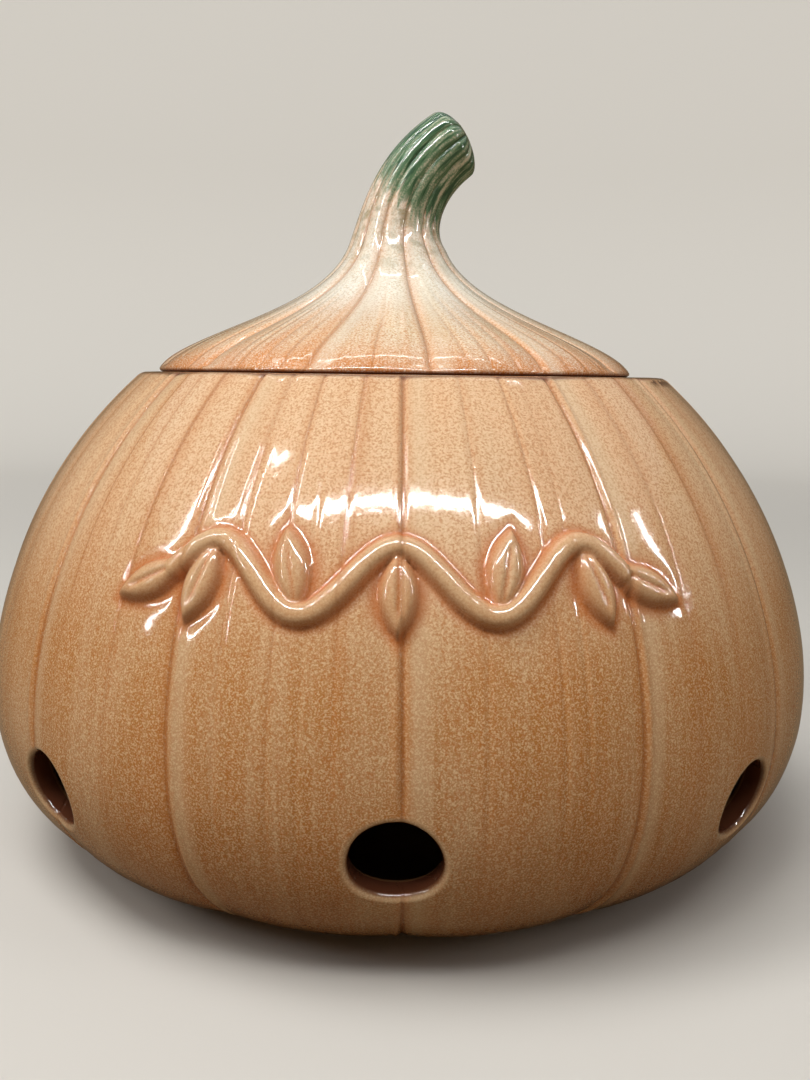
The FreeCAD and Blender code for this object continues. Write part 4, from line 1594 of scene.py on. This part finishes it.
@dataclass
class Studio:
    """A pale round backdrop, soft lamps and the camera of the photograph."""

    floor_radius: float = 1.1
    sweep: float = 0.5
    wall_top: float = 1.1
    lens: float = 33.006
    eye: Place = (0.00118, -0.3055, 0.134)
    middle: Place = (0.0, 0.0, 0.09)
    pitch_deg: float = 9.489
    roll_deg: float = 0.7317
    room: str = "#dfe4ea"
    room_light: float = 0.36

    def backdrop(self) -> bpy.types.Object:
        """A floor that sweeps up into a wall: one outline of line, quarter circle and line, turned."""
        angles = np.radians(np.linspace(-90.0, 0.0, 16))
        sweep_r = self.floor_radius + self.sweep * np.cos(angles)
        sweep_z = self.sweep + self.sweep * np.sin(angles)
        radius = np.concatenate([[0.0, 0.3, 0.7], sweep_r, [self.floor_radius + self.sweep]])
        height = np.concatenate([[0.0, 0.0, 0.0], sweep_z, [self.wall_top]])
        turn = np.linspace(0.0, 2.0 * np.pi, 96, endpoint=False)
        points = np.stack([
            np.outer(radius, np.sin(turn)), -np.outer(radius, np.cos(turn)),
            np.repeat(height[:, None], len(turn), axis=1)], axis=-1)
        grid = np.arange(points.shape[0] * len(turn)).reshape(points.shape[:2])
        grid[0, :] = 0
        low, high = grid[:-1], grid[1:]
        quads = np.stack([low, high, np.roll(high, -1, 1), np.roll(low, -1, 1)], axis=-1)
        faces = [tuple(dict.fromkeys(quad)) for quad in quads.reshape(-1, 4).tolist()]
        mesh = bpy.data.meshes.new("backdrop")
        mesh.from_pydata(points.reshape(-1, 3).tolist(), [], faces)
        mesh.polygons.foreach_set("use_smooth", np.ones(len(mesh.polygons), dtype=bool))
        backdrop = bpy.data.objects.new("backdrop", mesh)
        bpy.context.collection.objects.link(backdrop)
        mesh.materials.append(PaperSweep().build())
        return backdrop

    def lamp(self, name: str, place: Place, size: tuple[float, float], power: float, gloss: bool) -> None:
        """Hang a rectangular lamp that faces the middle of the object.

        Args:
            name: Name of the lamp.
            place: Where it hangs.
            size: Its width and height.
            power: Watts.
            gloss: Whether it shows as a highlight, or else lights the colours below the gloss.
        """
        light = bpy.data.lights.new(name, "AREA")
        light.shape = "RECTANGLE"
        light.size, light.size_y = size
        light.energy = power
        lamp = bpy.data.objects.new(name, light)
        lamp.location = place
        facing = Vector(self.middle) - Vector(place)
        lamp.rotation_euler = facing.to_track_quat("-Z", "Y").to_euler()
        lamp.visible_glossy = gloss
        lamp.visible_diffuse = not gloss
        bpy.context.collection.objects.link(lamp)

    def lights(self) -> None:
        """Soft lamps that light the colours, thin tubes that show in the gloss, and a dim room."""
        soft = (
            ("soft_overhead", (-0.45, -0.40, 1.55), (0.9, 0.7), 14.0),
            ("soft_front", (0.0, -0.84, 1.32), (1.0, 0.3), 7.0),
            ("soft_left", (-1.2, -0.55, 1.05), (0.4, 0.6), 6.4),
            ("soft_right", (1.2, -0.55, 0.75), (0.4, 0.6), 2.0),
        )
        tubes = (
            ("tube_above_front", (0.0, -0.70, 1.12), (1.5, 0.036), 20.0),
            ("tube_above_back", (0.0, 0.30, 1.30), (1.2, 0.02), 1.4),
            ("tube_left", (-0.92, -0.45, 0.85), (0.014, 1.1), 4.6),
            ("tube_right", (1.0, -0.25, 0.60), (0.014, 0.4), 2.4),
        )
        for lamps, gloss in ((soft, False), (tubes, True)):
            for name, place, size, power in lamps:
                self.lamp(name, place, size, power, gloss)
        world = bpy.data.worlds.new("studio_room")
        world.use_nodes = True
        room = world.node_tree.nodes["Background"].inputs
        room["Color"].default_value = linear(self.room)
        room["Strength"].default_value = self.room_light
        bpy.context.scene.world = world

    def camera(self) -> None:
        """Stand the camera where the photograph was taken, pitched down and slightly rolled."""
        data = bpy.data.cameras.new("camera")
        data.lens = self.lens
        data.clip_start = 0.01
        camera = bpy.data.objects.new("camera", data)
        pitch, roll = math.radians(self.pitch_deg), math.radians(self.roll_deg)
        forward = Vector((0.0, math.cos(pitch), -math.sin(pitch)))
        level_up = Vector((0.0, math.sin(pitch), math.cos(pitch)))
        level_right = Vector((1.0, 0.0, 0.0))
        right = math.cos(roll) * level_right + math.sin(roll) * level_up
        up = math.cos(roll) * level_up - math.sin(roll) * level_right
        axes = Matrix((right, up, -forward)).transposed().to_4x4()
        camera.matrix_world = Matrix.Translation(Vector(self.eye)) @ axes
        bpy.context.collection.objects.link(camera)
        bpy.context.scene.camera = camera


def main() -> None:
    """Build the jar and the lid, dress them and set them in the studio."""
    jar, lid = Jar(), Lid()
    jar_counts = tuple(len(folds.azimuth) for folds in jar.folds())
    lid_counts = tuple(len(folds.azimuth) for folds in lid.folds())
    liner = LinerGlaze().build()
    # The jar's ground runs from deep orange-brown at the foot to pale peach on the shoulder: partly the glaze
    # turning browner low down, partly painted shade under the belly and painted light on the shoulder.
    jar_glaze = SprayedGlaze(
        "sprayed_speckled_glaze", Pattern.OBJECT, low="#97591a", middle="#ba8045", high="#e9be94",
        heights=(4.0, 66.0, 110.0), fold_counts=jar_counts, small_folds=(60.0, 112.0, 0.2, 0.9),
        streaks=(20.0, 120.0, 0.5, 0.3)).build()
    # The lid's ground runs from orange at its foot to near white on the neck: partly cream glaze, partly
    # painted sheen where the upright neck gets less light.
    lid_glaze = StemGlaze(
        "sprayed_glaze_with_brushed_stem", Pattern.UNBENT, low="#cf7b35", middle="#eed2aa", high="#f8f3e6",
        heights=(0.0, 10.0, 24.0), fold_counts=lid_counts, small_folds=(5.0, 24.0, 1.0, 0.0),
        streaks=(3.0, 24.0, 1.3, 0.0), light_stipple=0.7, dark_stipple=0.65, line=0.46, cream="#f8e9cf",
        orange="#c67a38", tan="#cdb48d", fold="#a9672e", halo="#db8d48", pale="#efdfc4").build()

    shell, finish = jar.build()
    dress(shell, [jar_glaze, liner, BareClay().build()], finish)
    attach(shell, "root")
    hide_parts("jar")
    log.info("jar shell: %d faces, three finishes", len(shell.data.polygons))

    cover, finish = lid.build()
    dress(cover, [lid_glaze, liner], finish)
    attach(cover, "root")
    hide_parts("lid")
    log.info("lid shell: %d faces, two finishes", len(cover.data.polygons))

    studio = Studio()
    studio.backdrop()
    studio.lights()
    studio.camera()
    bpy.context.scene.view_settings.view_transform = "Standard"


if __name__ == "__main__":
    main()
